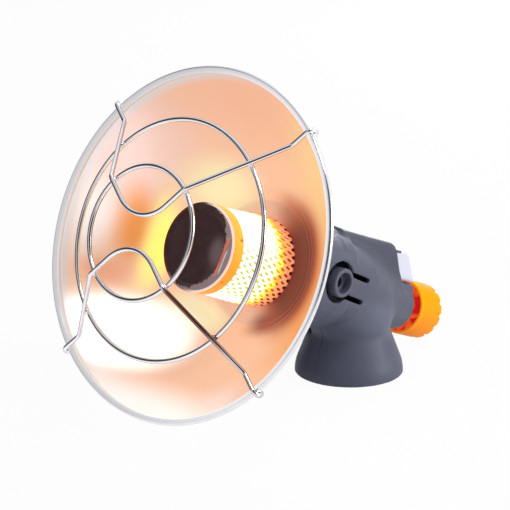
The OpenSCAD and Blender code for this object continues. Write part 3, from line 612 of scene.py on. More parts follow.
def axis_parts(tree, position):
    """Place on the reflector's axis by its parts, with the distance off the axis."""
    placed = use_group(tree, axis_group(), Position=position)
    return put(tree, "ShaderNodeSeparateXYZ", placed["Place"]).outputs, placed["Distance"]


class Finish:
    """A material being put together, with the object's own coordinates at hand."""

    def __init__(self, name, **shader):
        self.material = bpy.data.materials.new(name)
        self.material.use_nodes = True
        self.tree = self.material.node_tree
        self.tree.nodes.clear()
        self.shader = self.tree.nodes.new("ShaderNodeBsdfPrincipled")
        out = self.tree.nodes.new("ShaderNodeOutputMaterial")
        self.tree.links.new(self.shader.outputs[0], out.inputs["Surface"])
        self.position = self.tree.nodes.new("ShaderNodeTexCoord").outputs["Object"]
        for name, value in shader.items():
            self.set(name.replace("_", " "), value)

    def set(self, socket, value):
        join(self.tree, value, self.shader.inputs[socket])

    def bump(self, height, distance, strength=1.0):
        made = self.tree.nodes.new("ShaderNodeBump")
        made.inputs["Strength"].default_value = strength
        made.inputs["Distance"].default_value = distance
        join(self.tree, height, made.inputs["Height"])
        self.set("Normal", made.outputs["Normal"])


def moulded(name, colour, low, high, grain=0.00002, shade=0.12, **shader):
    """Moulded plastic with a fine grain, faint patches of shade and handling marks."""
    finish = Finish(name, **shader)
    tree = finish.tree
    grained = use_group(tree, grain_group(), Position=finish.position)
    darker = tuple(c * (1 - shade) for c in colour[:3]) + (1,)
    finish.set("Base Color", mixed(tree, grained["Shade"], darker, colour))
    worn = use_group(tree, wear_group(), Position=finish.position, Size=90.0, Low=low, High=high)
    finish.set("Roughness", worn["Roughness"])
    finish.bump(grained["Height"], grain, 0.5)
    return finish


def bare_metal(name, colour, low, high, shade=0.15, scratches=260.0, grain=0.000012, **shader):
    """Bare metal with faint stains and fine scratches."""
    finish = Finish(name, Metallic=1.0, **shader)
    tree = finish.tree
    grained = use_group(tree, grain_group(), Position=finish.position, Grain=scratches * 8, Patches=120.0)
    darker = tuple(c * (1 - shade) for c in colour[:3]) + (1,)
    finish.set("Base Color", mixed(tree, grained["Shade"], darker, colour))
    worn = use_group(tree, wear_group(), Position=finish.position, Size=scratches, Low=low, High=high)
    finish.set("Roughness", worn["Roughness"])
    finish.bump(grained["Height"], grain, 0.35)
    return finish


def dress(obj, body, slot, *nodes):
    """Lets a piece ride a body, in place of construction nodes; the slot is not used."""
    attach(obj, body)
    if nodes:
        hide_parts(*nodes)
    return obj


def refinish(material, *nodes):
    """Gives carried-over construction pieces their material."""
    for name in nodes:
        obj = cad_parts[name]
        if not obj.material_slots:
            obj.data.materials.append(None)
        for slot in obj.material_slots:
            slot.link = "OBJECT"
            slot.material = material


# ---- Geometry Nodes helpers ----

def geometry_tree(name, inputs):
    """Geometry node tree with its inputs, and the sockets of both its ends."""
    tree = bpy.data.node_groups.new(name, "GeometryNodeTree")
    tree.interface.new_socket("Geometry", in_out="INPUT", socket_type="NodeSocketGeometry")
    for label, kind, default in inputs:
        socket = tree.interface.new_socket(label, in_out="INPUT", socket_type=kind)
        if default is not None:
            socket.default_value = default
    tree.interface.new_socket("Geometry", in_out="OUTPUT", socket_type="NodeSocketGeometry")
    return tree, tree.nodes.new("NodeGroupInput").outputs, tree.nodes.new("NodeGroupOutput").inputs


def end_tree(tree, geometry, given, out):
    """Makes every instance real, gives it the material and hands it on."""
    real = put(tree, "GeometryNodeRealizeInstances", geometry)
    painted = tree.nodes.new("GeometryNodeSetMaterial")
    tree.links.new(real.outputs[0], painted.inputs["Geometry"])
    tree.links.new(given["Material"], painted.inputs["Material"])
    tree.links.new(painted.outputs[0], out[0])


def grown(name, tree, values, base=None, angle=40.0):
    """Runs a tree on a base mesh and gives the result back as a plain mesh object."""
    mesh = base or bpy.data.meshes.new(name + " seed")
    seed = bpy.data.objects.new(name + " seed", mesh)
    bpy.context.scene.collection.objects.link(seed)
    modifier = seed.modifiers.new("Tree", "NODES")
    modifier.node_group = tree
    for item in tree.interface.items_tree:
        if item.in_out == "INPUT" and item.name in values:
            modifier[item.identifier] = values[item.name]
    bpy.context.view_layer.update()
    evaluated = seed.evaluated_get(bpy.context.evaluated_depsgraph_get())
    result = bpy.data.meshes.new_from_object(evaluated)
    bpy.data.objects.remove(seed)
    result.name = name
    obj = bpy.data.objects.new(name, result)
    bpy.context.scene.collection.objects.link(obj)
    shade(obj, angle)
    return obj


# ---- Housing ----

def belly_radius(f):
    """Radius of the belly, which bulges along its length."""
    return BELLY_R - BELLY_ARC + np.sqrt(BELLY_ARC ** 2 - np.minimum((f - BELLY_FRONT) ** 2, 14000))


def spine_distance(x, v, f):
    """Distance to the flat-sided spine on top, whose back face leans."""
    face = (SPINE_FACE + (v - IGNITER_RISE) * math.tan(SPINE_LEAN) - f) * math.cos(SPINE_LEAN)
    toe = SPINE_FACE + (SPINE_TOE - IGNITER_RISE) * math.tan(SPINE_LEAN)
    side = smooth_max(v - SPINE_TOP, face, 3.4)
    side = np.maximum(side, (f - toe) * -0.6 + (v - SPINE_TOE) * -0.8)
    side = np.maximum(side, np.maximum(f - SPINE_FRONT, SPINE_ROOT - v))
    return smooth_max(side, np.abs(x) - SPINE_HALF, 2.2)


def upper_distance(x, v, f):
    """Distance to the housing's upper part: belly, hood, spine and nose, cut flat on both sides."""
    r = np.hypot(x, v)
    belly = smooth_max((r - belly_radius(f)) * 0.97, between(f, NOSE_END + 6, BELLY_FRONT), 1.5)
    hood = smooth_max(r - HOOD_R, between(f, HOOD_BACK, HOOD_FRONT), 1.6)
    body = smooth_min(belly, hood, 3.0)
    body = smooth_min(body, spine_distance(x, v, f), 2.6)
    nose = smooth_max(np.hypot(x, v - KNOB_RISE) - NOSE_R, between(f, NOSE_END, 6), 1.4)
    chin = np.maximum(np.abs(x) - CHIN_HALF, np.maximum(v - CHIN_TOP, between(f, NOSE_END, CHIN_FRONT)))
    nose = smooth_min(nose, np.maximum(chin, -v), 2.5)
    body = smooth_min(body, nose, 5.0 + 4.0 * np.clip((3 - v) / 8, 0, 1))
    return smooth_max(body, np.abs(x) - SIDE_HALF, 2.4)


def skirt_distance(r, z):
    """Distance to the flared skirt and the plain neck above it."""
    slope = math.atan((SKIRT_R - SKIRT_TOP_R) / SKIRT_FLARE)
    middle_r = SKIRT_R - SKIRT_ARC
    middle_z = SKIRT_FOOT + SKIRT_STRAIGHT - SKIRT_ARC * math.tan(slope / 2)
    height = z - middle_z
    turn = np.arctan2(height, np.maximum(r - middle_r, 1e-6))
    straight = (r - middle_r) * math.cos(slope) + height * math.sin(slope) - SKIRT_ARC
    rounded = np.hypot(r - middle_r, height) - SKIRT_ARC
    bell = np.where(height < 0, r - SKIRT_R, np.where(turn < slope, rounded, straight))
    neck = np.maximum(r - SKIRT_TOP_R, z - NECK_TOP)
    return np.minimum(smooth_max(bell, z - SKIRT_TOP, 0.6), neck)


def skin_distance(p, blend):
    """Distance to the outer skin, before its foot is cut level."""
    x, v, f = onto_axis(p)
    r = np.hypot(p[:, 0], p[:, 1])
    ball = np.hypot(r, p[:, 2] - NECK_TOP) - NECK_R
    upper = smooth_min(upper_distance(x, v, f), ball, blend)
    return smooth_min(upper, skirt_distance(r, p[:, 2]), 1.6)


# Front screws by place along the axis and height off it, neck screws by world Y and Z
FRONT_SCREWS = ((45.0, 15.0), (45.0, -15.0))
NECK_SCREWS = ((14.0, 12.2), (-14.0, 12.2))


def screw_rods(p, r):
    """Distances to rods of radius r that run across, at the front screws and at the neck screws."""
    _, v, f = onto_axis(p)
    front = np.minimum.reduce([np.hypot(v - b, f - a) for a, b in FRONT_SCREWS]) - r
    neck = np.minimum.reduce([np.hypot(p[:, 1] - a, p[:, 2] - b) for a, b in NECK_SCREWS]) - r
    return front, neck


def tongue_gap(x, v, f):
    """Distance to the gap round the stand socket, with the two long slots that free its tongue."""
    around = np.hypot(v, f - SOCKET_F) - TONGUE_GAP_R
    gap = np.maximum(around, -np.maximum(np.abs(v) - TONGUE_HALF, f - SOCKET_F))
    down = v * math.cos(SLOT_LEAN) - (f - SOCKET_F) * math.sin(SLOT_LEAN)
    back = (f - SOCKET_F) * math.cos(SLOT_LEAN) + v * math.sin(SLOT_LEAN)
    for line in SLOT_PLACES:
        slot = np.hypot(down - line, np.minimum(back + SLOT_LENGTH, 0)) - SLOT_R
        gap = np.minimum(gap, np.maximum(slot, back - SLOT_FRONT))
    return np.maximum(gap, TONGUE_GAP_X - x)


def web_distance(p, x, v, f):
    """Distance to the webs and posts inside that hold the valve, the collar, the igniter and the screws."""
    front, neck = screw_rods(p, SCREW_BOSS_R)
    valve_hold = np.maximum(np.hypot(p[:, 0], p[:, 1]) - NECK_R, between(p[:, 2], *VALVE_HOLD_Z))
    collar_hold = np.maximum(np.hypot(x, v) - BELLY_R, between(f, *COLLAR_HOLD_F))
    gland_hold = np.maximum(np.hypot(x, v - KNOB_RISE) - GLAND_HOLD_R, between(f, *GLAND_HOLD_F))
    half_v, half_f = IGNITER_HOLD_HALF
    igniter_hold = np.maximum(np.abs(v - IGNITER_RISE) - half_v, np.abs(f - IGNITER_HOLD_F) - half_f)
    igniter_hold = np.maximum(np.abs(x) - SPINE_HALF, igniter_hold)
    webs = np.minimum(valve_hold, np.minimum(front, neck))
    return np.minimum(np.minimum(webs, collar_hold), np.minimum(gland_hold, igniter_hold))


def cut_distance(p, x, v, f, left):
    """Distance to what is cut out of a half for the socket, the works inside, the button and the screws."""
    around = np.hypot(v, f - SOCKET_F)
    mouth = np.maximum(around - SOCKET_MOUTH_R, SOCKET_MOUTH_X - x)
    socket = np.maximum(smooth_min(around - SOCKET_BORE_R, mouth, 0.2), SOCKET_BORE_X - x)
    inlet = np.maximum(np.hypot(p[:, 0], p[:, 1]) - INLET_R, p[:, 2] - INLET_TOP)
    r = np.hypot(x, v)
    collar = np.maximum(r - COLLAR_R, COLLAR_BACK - f)
    collar_lip = np.maximum(r - COLLAR_LIP_R, between(f, *COLLAR_LIP_F))
    tube_way = np.maximum(r - TUBE_WAY_R, TUBE_WAY_F - f)
    valve = np.maximum(np.hypot(x, v - KNOB_RISE) - VALVE_R, f - POCKET_END)
    igniter = smooth_max(np.hypot(x, v - IGNITER_RISE) - IGNITER_R, between(f, *IGNITER_F), 0.3)
    pocket = np.maximum(between(v, POCKET_FLOOR, POCKET_ROOF), f - POCKET_END)
    pocket = np.maximum(np.abs(x) - POCKET_HALF, pocket)
    cuts = np.minimum.reduce([socket, inlet, collar, collar_lip, tube_way, valve, igniter, pocket])
    front, neck = screw_rods(p, SCREW_HOLE_R)
    holes = np.minimum(front, neck)
    if not left:
        return np.minimum(cuts, np.maximum(holes, x - SCREW_REACH))
    front, neck = screw_rods(p, SCREW_HEAD_R)
    heads = np.minimum(np.maximum(front, FRONT_HEAD_X - x), np.maximum(neck, NECK_HEAD_X - x))
    return np.minimum(cuts, np.minimum(holes, heads))


def half_distance(p, left, wall):
    """Distance to one half of the housing, drawn on the side where x is above 0."""
    x, v, f = onto_axis(p)
    skin = skin_distance(p, 4.0)
    outer = smooth_max(skin, SKIRT_FOOT - p[:, 2], 0.8)
    shell = smooth_max(outer, -(skin + wall), 0.3)
    shell = smooth_max(shell, -tongue_gap(x, v, f), 0.5)
    solid = np.minimum(shell, np.maximum(web_distance(p, x, v, f), outer + SINK))
    boss = smooth_max(np.hypot(v, f - SOCKET_F) - SOCKET_R, between(x, *SOCKET_X), 0.8)
    floor = np.hypot(v, np.maximum(f - SOCKET_F, 0) + np.minimum(f - CAVITY_BACK, 0)) - CAVITY_R
    floor = np.maximum(floor, np.abs(x - CAVITY_X) - CAVITY_FLOOR_HALF)
    solid = np.minimum(np.minimum(solid, boss), np.maximum(floor, outer + SINK))
    half_x, half_v, half_f = TAB_HALF
    tab = np.maximum(np.abs(v - TAB_RISE) - half_v, np.abs(f - TAB_F) - half_f)
    tab = np.maximum(np.abs(np.abs(x) - TAB_X) - half_x, tab)
    solid = smooth_max(np.minimum(solid, tab), -cut_distance(p, x, v, f, left), 0.35)
    return smooth_max(solid, 0.02 - x, 0.35)


def half_mesh(name, left, wall, step):
    """Mesh object of a housing half, in its node's box."""
    low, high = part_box(name)
    low, high = np.array(low) / MM - 1.3, np.array(high) / MM + 1.3
    if left:
        high[0] = -low[0]
    low[0] = -0.77
    points, quads = contour(lambda p: half_distance(p, left, wall), low, high, step)
    if left:
        points[:, 0] *= -1
        quads = quads[:, ::-1]
    return mesh_object(name + "_shell", points * MM, quads, 38.0)


# ---- Settings ----

class HeaterHousing(bpy.types.PropertyGroup):
    colour: FloatVectorProperty(name="Colour", description="Colour of the moulded housing", subtype="COLOR",
                                size=4, min=0, max=1, default=paint(77, 80, 98))
    wall: FloatProperty(name="Wall", description="Thickness of the moulded walls, in millimetres",
                        default=2.2, min=1.6, max=3.0)
    step: FloatProperty(name="Detail", description="Spacing of the housing's surface points, in millimetres",
                        default=0.51, min=0.4, max=2.0)


class HeaterReflector(bpy.types.PropertyGroup):
    steel: FloatVectorProperty(name="Sheet", description="Colour of the bare reflector sheet",
                               subtype="COLOR", size=4, min=0, max=1, default=paint(232, 232, 236))
    glow: FloatVectorProperty(name="Glow", description="Colour that the burner throws on the sheet",
                              subtype="COLOR", size=4, min=0, max=1, default=paint(252, 197, 166))
    shine: FloatProperty(name="Shine", description="Strength of the light that the sheet throws back",
                         default=0.5, min=0, max=2)


class HeaterBurner(bpy.types.PropertyGroup):
    cells: IntProperty(name="Cells round", description="Mesh cells round the sleeve", default=36,
                       min=12, max=60)
    rows: IntProperty(name="Rows", description="Rows of mesh strands", default=11, min=4, max=24)
    strand: FloatProperty(name="Strand", description="Width of a strand, in millimetres", default=1.3,
                          min=0.4, max=2.0)
    lean: FloatProperty(name="Lean", description="Share of a cell that its longer side takes", default=0.66,
                        min=0.5, max=0.8)
    glow: FloatProperty(name="Glow", description="Strength of the glowing mesh", default=1.15, min=0, max=5)


class HeaterGuard(bpy.types.PropertyGroup):
    wire: FloatProperty(name="Wire", description="Radius of the guard's wire, in millimetres", default=WIRE_R,
                        min=0.5, max=1.4)
    weld: FloatProperty(name="Weld", description="Radius of a weld between wires, in millimetres",
                        default=1.25, min=0.5, max=1.6)
    colour: FloatVectorProperty(name="Colour", description="Colour of the plated wire", subtype="COLOR",
                                size=4, min=0, max=1, default=paint(248, 247, 251))


class HeaterKnob(bpy.types.PropertyGroup):
    notches: IntProperty(name="Notches", description="Finger notches round the knob's back", default=13,
                         min=6, max=30)
    depth: FloatProperty(name="Depth", description="Depth of a notch, in millimetres", default=0.75,
                         min=0, max=1.2)
    colour: FloatVectorProperty(name="Colour", description="Colour of the knob", subtype="COLOR", size=4,
                                min=0, max=1, default=paint(252, 158, 0))


class HeaterButton(bpy.types.PropertyGroup):
    colour: FloatVectorProperty(name="Colour", description="Colour of the igniter's button", subtype="COLOR",
                                size=4, min=0, max=1, default=paint(214, 215, 229))


class HeaterStage(bpy.types.PropertyGroup):
    key: FloatProperty(name="Key light", description="Power of the key light", subtype="POWER",
                       default=7.5, min=0)
    fill: FloatProperty(name="Fill light", description="Power of the fill light", subtype="POWER",
                        default=0.12, min=0)
    back: FloatProperty(name="Back light", description="Power of the light behind", subtype="POWER",
                        default=4.0, min=0)
    top: FloatProperty(name="Top light", description="Power of the light overhead", subtype="POWER",
                       default=2.0, min=0)


# ---- Pieces ----

class HEATER_OT_housing(bpy.types.Operator):
    """Builds the two halves of the moulded housing"""
    bl_idname = "heater.housing"
    bl_label = "Housing"

    def plastic(self, chosen):
        """Grained plastic, with painted shade on its crest and flank and in the recess round the stand socket,
        and painted light on the socket's boss and low on the belly and nose.
        """
        finish = moulded("Housing plastic", tuple(chosen.colour), 0.5, 0.62, grain=0.00003, shade=0.1,
                         Specular_IOR_Level=0.42)
        tree = finish.tree
        parts, _ = axis_parts(tree, finish.position)
        across = size_of(tree, parts["X"])
        # Painted shade: the crest and flank of the spine darkened toward black.
        crest = product(tree, span(tree, across, 12.6, 11.4), span(tree, parts["Y"], 6, 10))
        colour = finish.shader.inputs["Base Color"].links[0].from_socket
        colour = mixed(tree, product(tree, crest, 0.28), colour, (0.01, 0.01, 0.014, 1))
        # Painted light: paler low on the belly and nose, strongest toward the back.
        painted_low_light = product(tree, span(tree, parts["Y"], -2, -9), span(tree, parts["Y"], -22, -16),
                        span(tree, parts["Z"], 24, 4, 0.0, 0.45))
        colour = mixed(tree, painted_low_light, colour, paint(104, 108, 126))
        forward = sums(tree, "SUBTRACT", parts["Z"], SOCKET_F)
        socket = put(tree, "ShaderNodeCombineXYZ", 0.0, parts["Y"], forward)
        around = vectors(tree, "LENGTH", socket.outputs[0])
        # Painted light: the socket's boss a little paler.
        boss = product(tree, span(tree, around, 6.6, 6.4), span(tree, across, 15, 18))
        colour = mixed(tree, product(tree, boss, 0.3), colour, paint(96, 92, 106))
        # Painted shade: the recess round the stand socket and its slots near black.
        recess_shade = product(tree, span(tree, across, 18.6, 15), span(tree, around, 28, 27),
                       span(tree, size_of(tree, parts["Y"]), 9.8, 9.2, 0.0, 0.9))
        finish.set("Base Color", mixed(tree, recess_shade, colour, (0.001, 0.001, 0.001, 1)))
        return finish.material

    def execute(self, context):
        chosen = context.scene.heater_housing
        material = self.plastic(chosen)
        step = chosen.step * 1.0
        for name in ("housing_right", "housing_left"):
            obj = half_mesh(name, name == "housing_left", chosen.wall, step)
            obj.data.materials.append(material)
            dress(obj, "heater", "housing", name)
        return {"FINISHED"}


def dish_profile():
    """Profile of the spun reflector: its inside, its rolled rim and its outside, as radius and place."""
    chord = np.array([BEAD_RING_R - FLOOR_R, RIM - FLOOR - SHEET])
    length = np.linalg.norm(chord)
    big = (length ** 2 / 4 + DISH_BOW ** 2) / (2 * DISH_BOW)
    foot = np.array([FLOOR_R, FLOOR + SHEET])
    inward = np.array([-chord[1], chord[0]]) / length
    middle = foot + chord / 2 + inward * (big - DISH_BOW)
    a = math.degrees(math.atan2(*(foot - middle)[::-1]))
    b = math.degrees(math.atan2(*(foot + chord - middle)[::-1]))
    wall = arc(middle, big, a, b, 60)
    wall = wall[wall[:, 0] < BEAD_RING_R - 0.9]
    corner = bend((20, FLOOR + SHEET), foot, wall[14], CORNER_R, 10)
    start = next(i for i, w in enumerate(wall) if w[0] > corner[-1][0] + 0.3)
    bowl = list(corner) + list(wall[start:])
    ridge_r, ridge_width, ridge_height = 31.5, 0.7, 0.16
    for i, (r, f) in enumerate(bowl):
        lift = ridge_height * math.exp(-((r - ridge_r) / ridge_width) ** 2)
        bowl[i] = (r - lift * 0.6, f + lift * 0.8)
    inside = [(r, FLOOR + SHEET) for r in (HUB_HOLE_R, 16.5, 19.5)] + bowl
    roll = arc((BEAD_RING_R, RIM), BEAD_R, 205, -95, 40)
    outside = [(BEAD_RING_R - 0.2, RIM - 1.9)]
    outer_wall = arc(middle, big + SHEET, b, a, 50)
    outside += [tuple(p) for p in outer_wall if p[0] < BEAD_RING_R - 0.6 and p[1] > FLOOR + 1.5]
    back_corner = bend(outside[-1], (FLOOR_R + SHEET * 0.7, FLOOR), (20, FLOOR), CORNER_R, 8)
    outside += [tuple(p) for p in back_corner] + [(16.5, FLOOR), (HUB_HOLE_R, FLOOR)]
    return inside, list(roll), outside


# Soft ovals of painted light and painted shadow inside the bowl, each laid over the last: across, upward,
# half width, half height, turn in degrees, share that is fully covered, and colour
AMBER_REFLECTION = (-44, -3, 9, 32, 0, 0.15)
WHITE_POOL = (-38, -43, 34, 21, -6, 0.5)
DISH_PATCHES = (
    ((-60, 34, 34, 46, -30, 0.15), (250, 216, 208)),
    ((-52, -56, 34, 20, -40, 0.15), (255, 246, 244)),
    ((30, -60, 24, 13, 0, 0.15), (252, 222, 212)),
    ((44, 34, 36, 46, 0, 0.15), (254, 214, 154)),
    ((47, -14, 32, 48, 0, 0.15), (252, 178, 112)),
    ((-24, 27, 25, 17, 20, 0.15), (255, 244, 196)),
    ((-66, 2, 9, 28, 0, 0.15), (255, 243, 237)),
    ((-53, 2, 8.5, 26, 0, 0.15), (252, 164, 92)),
    (AMBER_REFLECTION, (255, 236, 120)),
    ((-57, -20, 12, 9, 0, 0.15), (250, 180, 146)),
    ((-21, -28, 20, 10, -14, 0.35), (255, 243, 204)),
    (WHITE_POOL, (255, 254, 250)),
    # The last four ovals are painted shadow beside the burner.
    ((14, 23, 17, 11, -20, 0.15), (204, 144, 120)),
    ((14, -24, 16, 8, 22, 0.15), (150, 98, 88)),
    ((22, 0, 27, 36, 0, 0.45), (192, 104, 74)),
    ((21, 0, 18, 31, 0, 0.45), (124, 66, 58)),
)
DISH_SHEEN = (-64, 22, 26, 60, -16, 0.15)


def dish_inside():
    """Satin sheet inside the bowl, whose colour is painted light: the burner's glow, its reflections and the
    shadow beside the burner, which the sheet also gives off as a painted glow.
    """
    finish = Finish("Reflector inside", Metallic=0.3)
    tree = finish.tree
    chosen = bpy.context.scene.heater_reflector
    parts, distance = axis_parts(tree, finish.position)

    def patch(x, v, wide, high, turn, full):
        """Soft oval about a place on the dish's face, 1 in its middle and 0 outside."""
        c, s = math.cos(math.radians(turn)), math.sin(math.radians(turn))
        dx = sums(tree, "SUBTRACT", parts["X"], x)
        dv = sums(tree, "SUBTRACT", parts["Y"], v)
        a = sums(tree, "MULTIPLY_ADD", dx, c / wide, product(tree, dv, s / wide))
        b = sums(tree, "MULTIPLY_ADD", dv, c / high, product(tree, dx, -s / high))
        r = vectors(tree, "LENGTH", put(tree, "ShaderNodeCombineXYZ", a, b, 0.0).outputs[0])
        return span(tree, r, 1.0, full)

    # Painted light: pale toward the bottom, the burner's glow toward the top, then the ovals of painted light
    # and shadow.
    base = mixed(tree, span(tree, parts["Y"], -70, -55), paint(254, 242, 239), paint(254, 206, 177))
    base = mixed(tree, span(tree, parts["Y"], 30, 66), base, tuple(chosen.glow))
    for oval, colour in DISH_PATCHES:
        base = mixed(tree, patch(*oval), base, paint(*colour))
    # Painted highlights along two pressed rings, on the right.
    arcs = product(tree, span(tree, parts["X"], 10, 22), 0.25)
    for radius in (28.0, 31.0):
        line = span(tree, size_of(tree, sums(tree, "SUBTRACT", distance, radius)), 0.9, 0.1)
        base = mixed(tree, product(tree, line, arcs), base, paint(212, 160, 136))
    edge = span(tree, distance, 69.0, 72.5)
    side = sums(tree, "MULTIPLY_ADD", parts["X"], -1.0, product(tree, parts["Y"], 0.35))
    base = mixed(tree, product(tree, edge, span(tree, side, -10, 40)), base, paint(222, 220, 222))
    finish.set("Base Color", mixed(tree, 0.4, base, (0, 0, 0, 1)))
    finish.set("Emission Color", base)
    # Painted glow, brightest in the amber reflection, the pool of white light, the sheen on the left and
    # toward the bottom.
    bright = sums(tree, "MAXIMUM", patch(*AMBER_REFLECTION), patch(*WHITE_POOL))
    for soft in (patch(*DISH_SHEEN), span(tree, parts["Y"], -52, -68)):
        bright = sums(tree, "MAXIMUM", bright, product(tree, soft, 0.6))
    finish.set("Emission Strength", span(tree, bright, 0.0, 1.0, chosen.shine, 0.85))
    marks = use_group(tree, wear_group(), Position=finish.position, Size=60.0, Low=0.32, High=0.44)
    finish.set("Roughness", marks["Roughness"])
    rings = use_group(tree, spun_group(), Distance=distance, Rings=1.4)
    finish.bump(rings["Height"], 0.00002, 0.25)
    return finish.material


def rim_finish():
    """Bright rolled rim, whose inner side has a painted reflection of the lit bowl: darker, less metallic and
    glowing pale, more so toward the right.
    """
    finish = bare_metal("Rolled rim", paint(243, 243, 246), 0.08, 0.14, shade=0.05, grain=0.000001)
    tree = finish.tree
    parts, distance = axis_parts(tree, finish.position)
    inward = span(tree, distance, BEAD_RING_R + 0.9, BEAD_RING_R)
    plain = finish.shader.inputs["Base Color"].links[0].from_socket
    finish.set("Base Color", mixed(tree, inward, plain, paint(150, 150, 154)))
    finish.set("Emission Color", paint(224, 225, 229))
    finish.set("Emission Strength", product(tree, inward, span(tree, parts["X"], -30, 55, 0.62, 0.95)))
    finish.set("Metallic", span(tree, inward, 0.0, 1.0, 0.85, 0.05))
    return finish.material


class HEATER_OT_reflector(bpy.types.Operator):
    """Builds the spun reflector with its rolled rim"""
    bl_idname = "heater.reflector"
    bl_label = "Reflector"

    def execute(self, context):
        chosen = context.scene.heater_reflector
        inside, roll, outside = dish_profile()
        obj = lathe("reflector_dish", inside + roll + outside, 256, True, angle=50.0)
        back = bare_metal("Reflector outside", tuple(chosen.steel), 0.3, 0.42, shade=0.04, scratches=140.0)
        back.set("Metallic", 0.35)
        for material in (dish_inside(), rim_finish(), back.material):
            obj.data.materials.append(material)
        points = np.array([f.center for f in obj.data.polygons]) / MM
        normals = np.array([f.normal for f in obj.data.polygons])
        x, v, f = onto_axis(points)
        r = np.hypot(x, v)
        forward = normals @ np.array([0, -math.cos(TILT), math.sin(TILT)])
        on_bead = np.hypot(r - BEAD_RING_R, f - RIM) < BEAD_R + 0.12
        kind = np.where(on_bead, 1, np.where(forward > 0, 0, 2))
        obj.data.polygons.foreach_set("material_index", kind.astype(np.int32))
        dress(obj, "heater", "reflector", "reflector")
        return {"FINISHED"}


def sleeve_tree():
    """Rows of zigzag strands on a tapered sleeve, each turned on from the last, broader to the front."""
    tree, given, out = geometry_tree("Mesh sleeve", [
        ("Rows", "NodeSocketInt", 11), ("Cells", "NodeSocketInt", 36), ("Length", "NodeSocketFloat", 33.4),
        ("Back radius", "NodeSocketFloat", 20.2), ("Front radius", "NodeSocketFloat", 18.3),
        ("Strand width", "NodeSocketFloat", 1.2), ("Strand thickness", "NodeSocketFloat", 0.5),
        ("Stand-out", "NodeSocketFloat", 0.5), ("Lean", "NodeSocketFloat", 0.66),
        ("Material", "NodeSocketMaterial", None)])
    steps = 8

    def m(operation, *values):
        return sums(tree, operation, *values)

    pitch = m("DIVIDE", given["Length"], m("ADD", given["Rows"], 1.0))
    count = m("MULTIPLY", given["Cells"], float(steps))
    circle = put(tree, "GeometryNodeCurvePrimitiveCircle", mode="RADIUS")
    tree.links.new(count, circle.inputs["Resolution"])
    circle.inputs["Radius"].default_value = 1.0
    line = tree.nodes.new("GeometryNodeMeshLine")
    line.mode = "OFFSET"
    tree.links.new(given["Rows"], line.inputs["Count"])
    shift = put(tree, "ShaderNodeCombineXYZ", 0.0, 0.0, pitch)
    tree.links.new(shift.outputs[0], line.inputs["Offset"])
    row = tree.nodes.new("GeometryNodeInputIndex")
    cell = m("DIVIDE", 2 * math.pi, given["Cells"])
    step_on = m("MULTIPLY", m("MULTIPLY", row.outputs[0], given["Lean"]), cell)
    turn = put(tree, "ShaderNodeCombineXYZ", 0.0, 0.0, step_on)
    rows = tree.nodes.new("GeometryNodeInstanceOnPoints")
    tree.links.new(line.outputs[0], rows.inputs["Points"])
    tree.links.new(circle.outputs[0], rows.inputs["Instance"])
    tree.links.new(turn.outputs[0], rows.inputs["Rotation"])
    real = put(tree, "GeometryNodeRealizeInstances", rows.outputs[0])
    index = tree.nodes.new("GeometryNodeInputIndex")
    phase = m("FRACT", m("DIVIDE", index.outputs[0], float(steps)))
    rising = m("DIVIDE", phase, given["Lean"])
    falling = m("DIVIDE", m("SUBTRACT", 1.0, phase), m("SUBTRACT", 1.0, given["Lean"]))
    wave = m("MINIMUM", rising, falling)
    eased = span(tree, wave, 0.06, 0.94, kind="LINEAR")
    position = tree.nodes.new("GeometryNodeInputPosition")
    parts = put(tree, "ShaderNodeSeparateXYZ", position.outputs[0]).outputs
    height = m("MULTIPLY_ADD", eased, pitch, parts["Z"])
    share = m("DIVIDE", height, given["Length"])
    narrowing = m("SUBTRACT", given["Front radius"], given["Back radius"])
    taper = m("MULTIPLY_ADD", share, narrowing, given["Back radius"])
    lean = m("MULTIPLY", m("SUBTRACT", 0.5, eased), given["Stand-out"])
    radius = m("SUBTRACT", m("ADD", taper, lean), m("MULTIPLY", given["Strand thickness"], 0.5))
    placed = put(tree, "ShaderNodeCombineXYZ", m("MULTIPLY", parts["X"], radius),
                 m("MULTIPLY", parts["Y"], radius), height)
    moved = tree.nodes.new("GeometryNodeSetPosition")
    tree.links.new(real.outputs[0], moved.inputs["Geometry"])
    tree.links.new(placed.outputs[0], moved.inputs["Position"])
    profile = tree.nodes.new("GeometryNodeCurvePrimitiveQuadrilateral")
    profile.mode = "RECTANGLE"
    tree.links.new(given["Strand thickness"], profile.inputs[0])
    tree.links.new(given["Strand width"], profile.inputs[1])
    broad = span(tree, share, 0.1, 0.45, 0.5, 1.16, "LINEAR")
    sized = tree.nodes.new("GeometryNodeSetCurveRadius")
    tree.links.new(moved.outputs[0], sized.inputs["Curve"])
    tree.links.new(broad, sized.inputs["Radius"])
    upward = tree.nodes.new("GeometryNodeSetCurveNormal")
    upward.mode = "Z_UP"
    tree.links.new(sized.outputs[0], upward.inputs["Curve"])
    solid = tree.nodes.new("GeometryNodeCurveToMesh")
    tree.links.new(upward.outputs[0], solid.inputs["Curve"])
    tree.links.new(profile.outputs[0], solid.inputs["Profile Curve"])
    end_tree(tree, solid.outputs[0], given, out)
    return tree


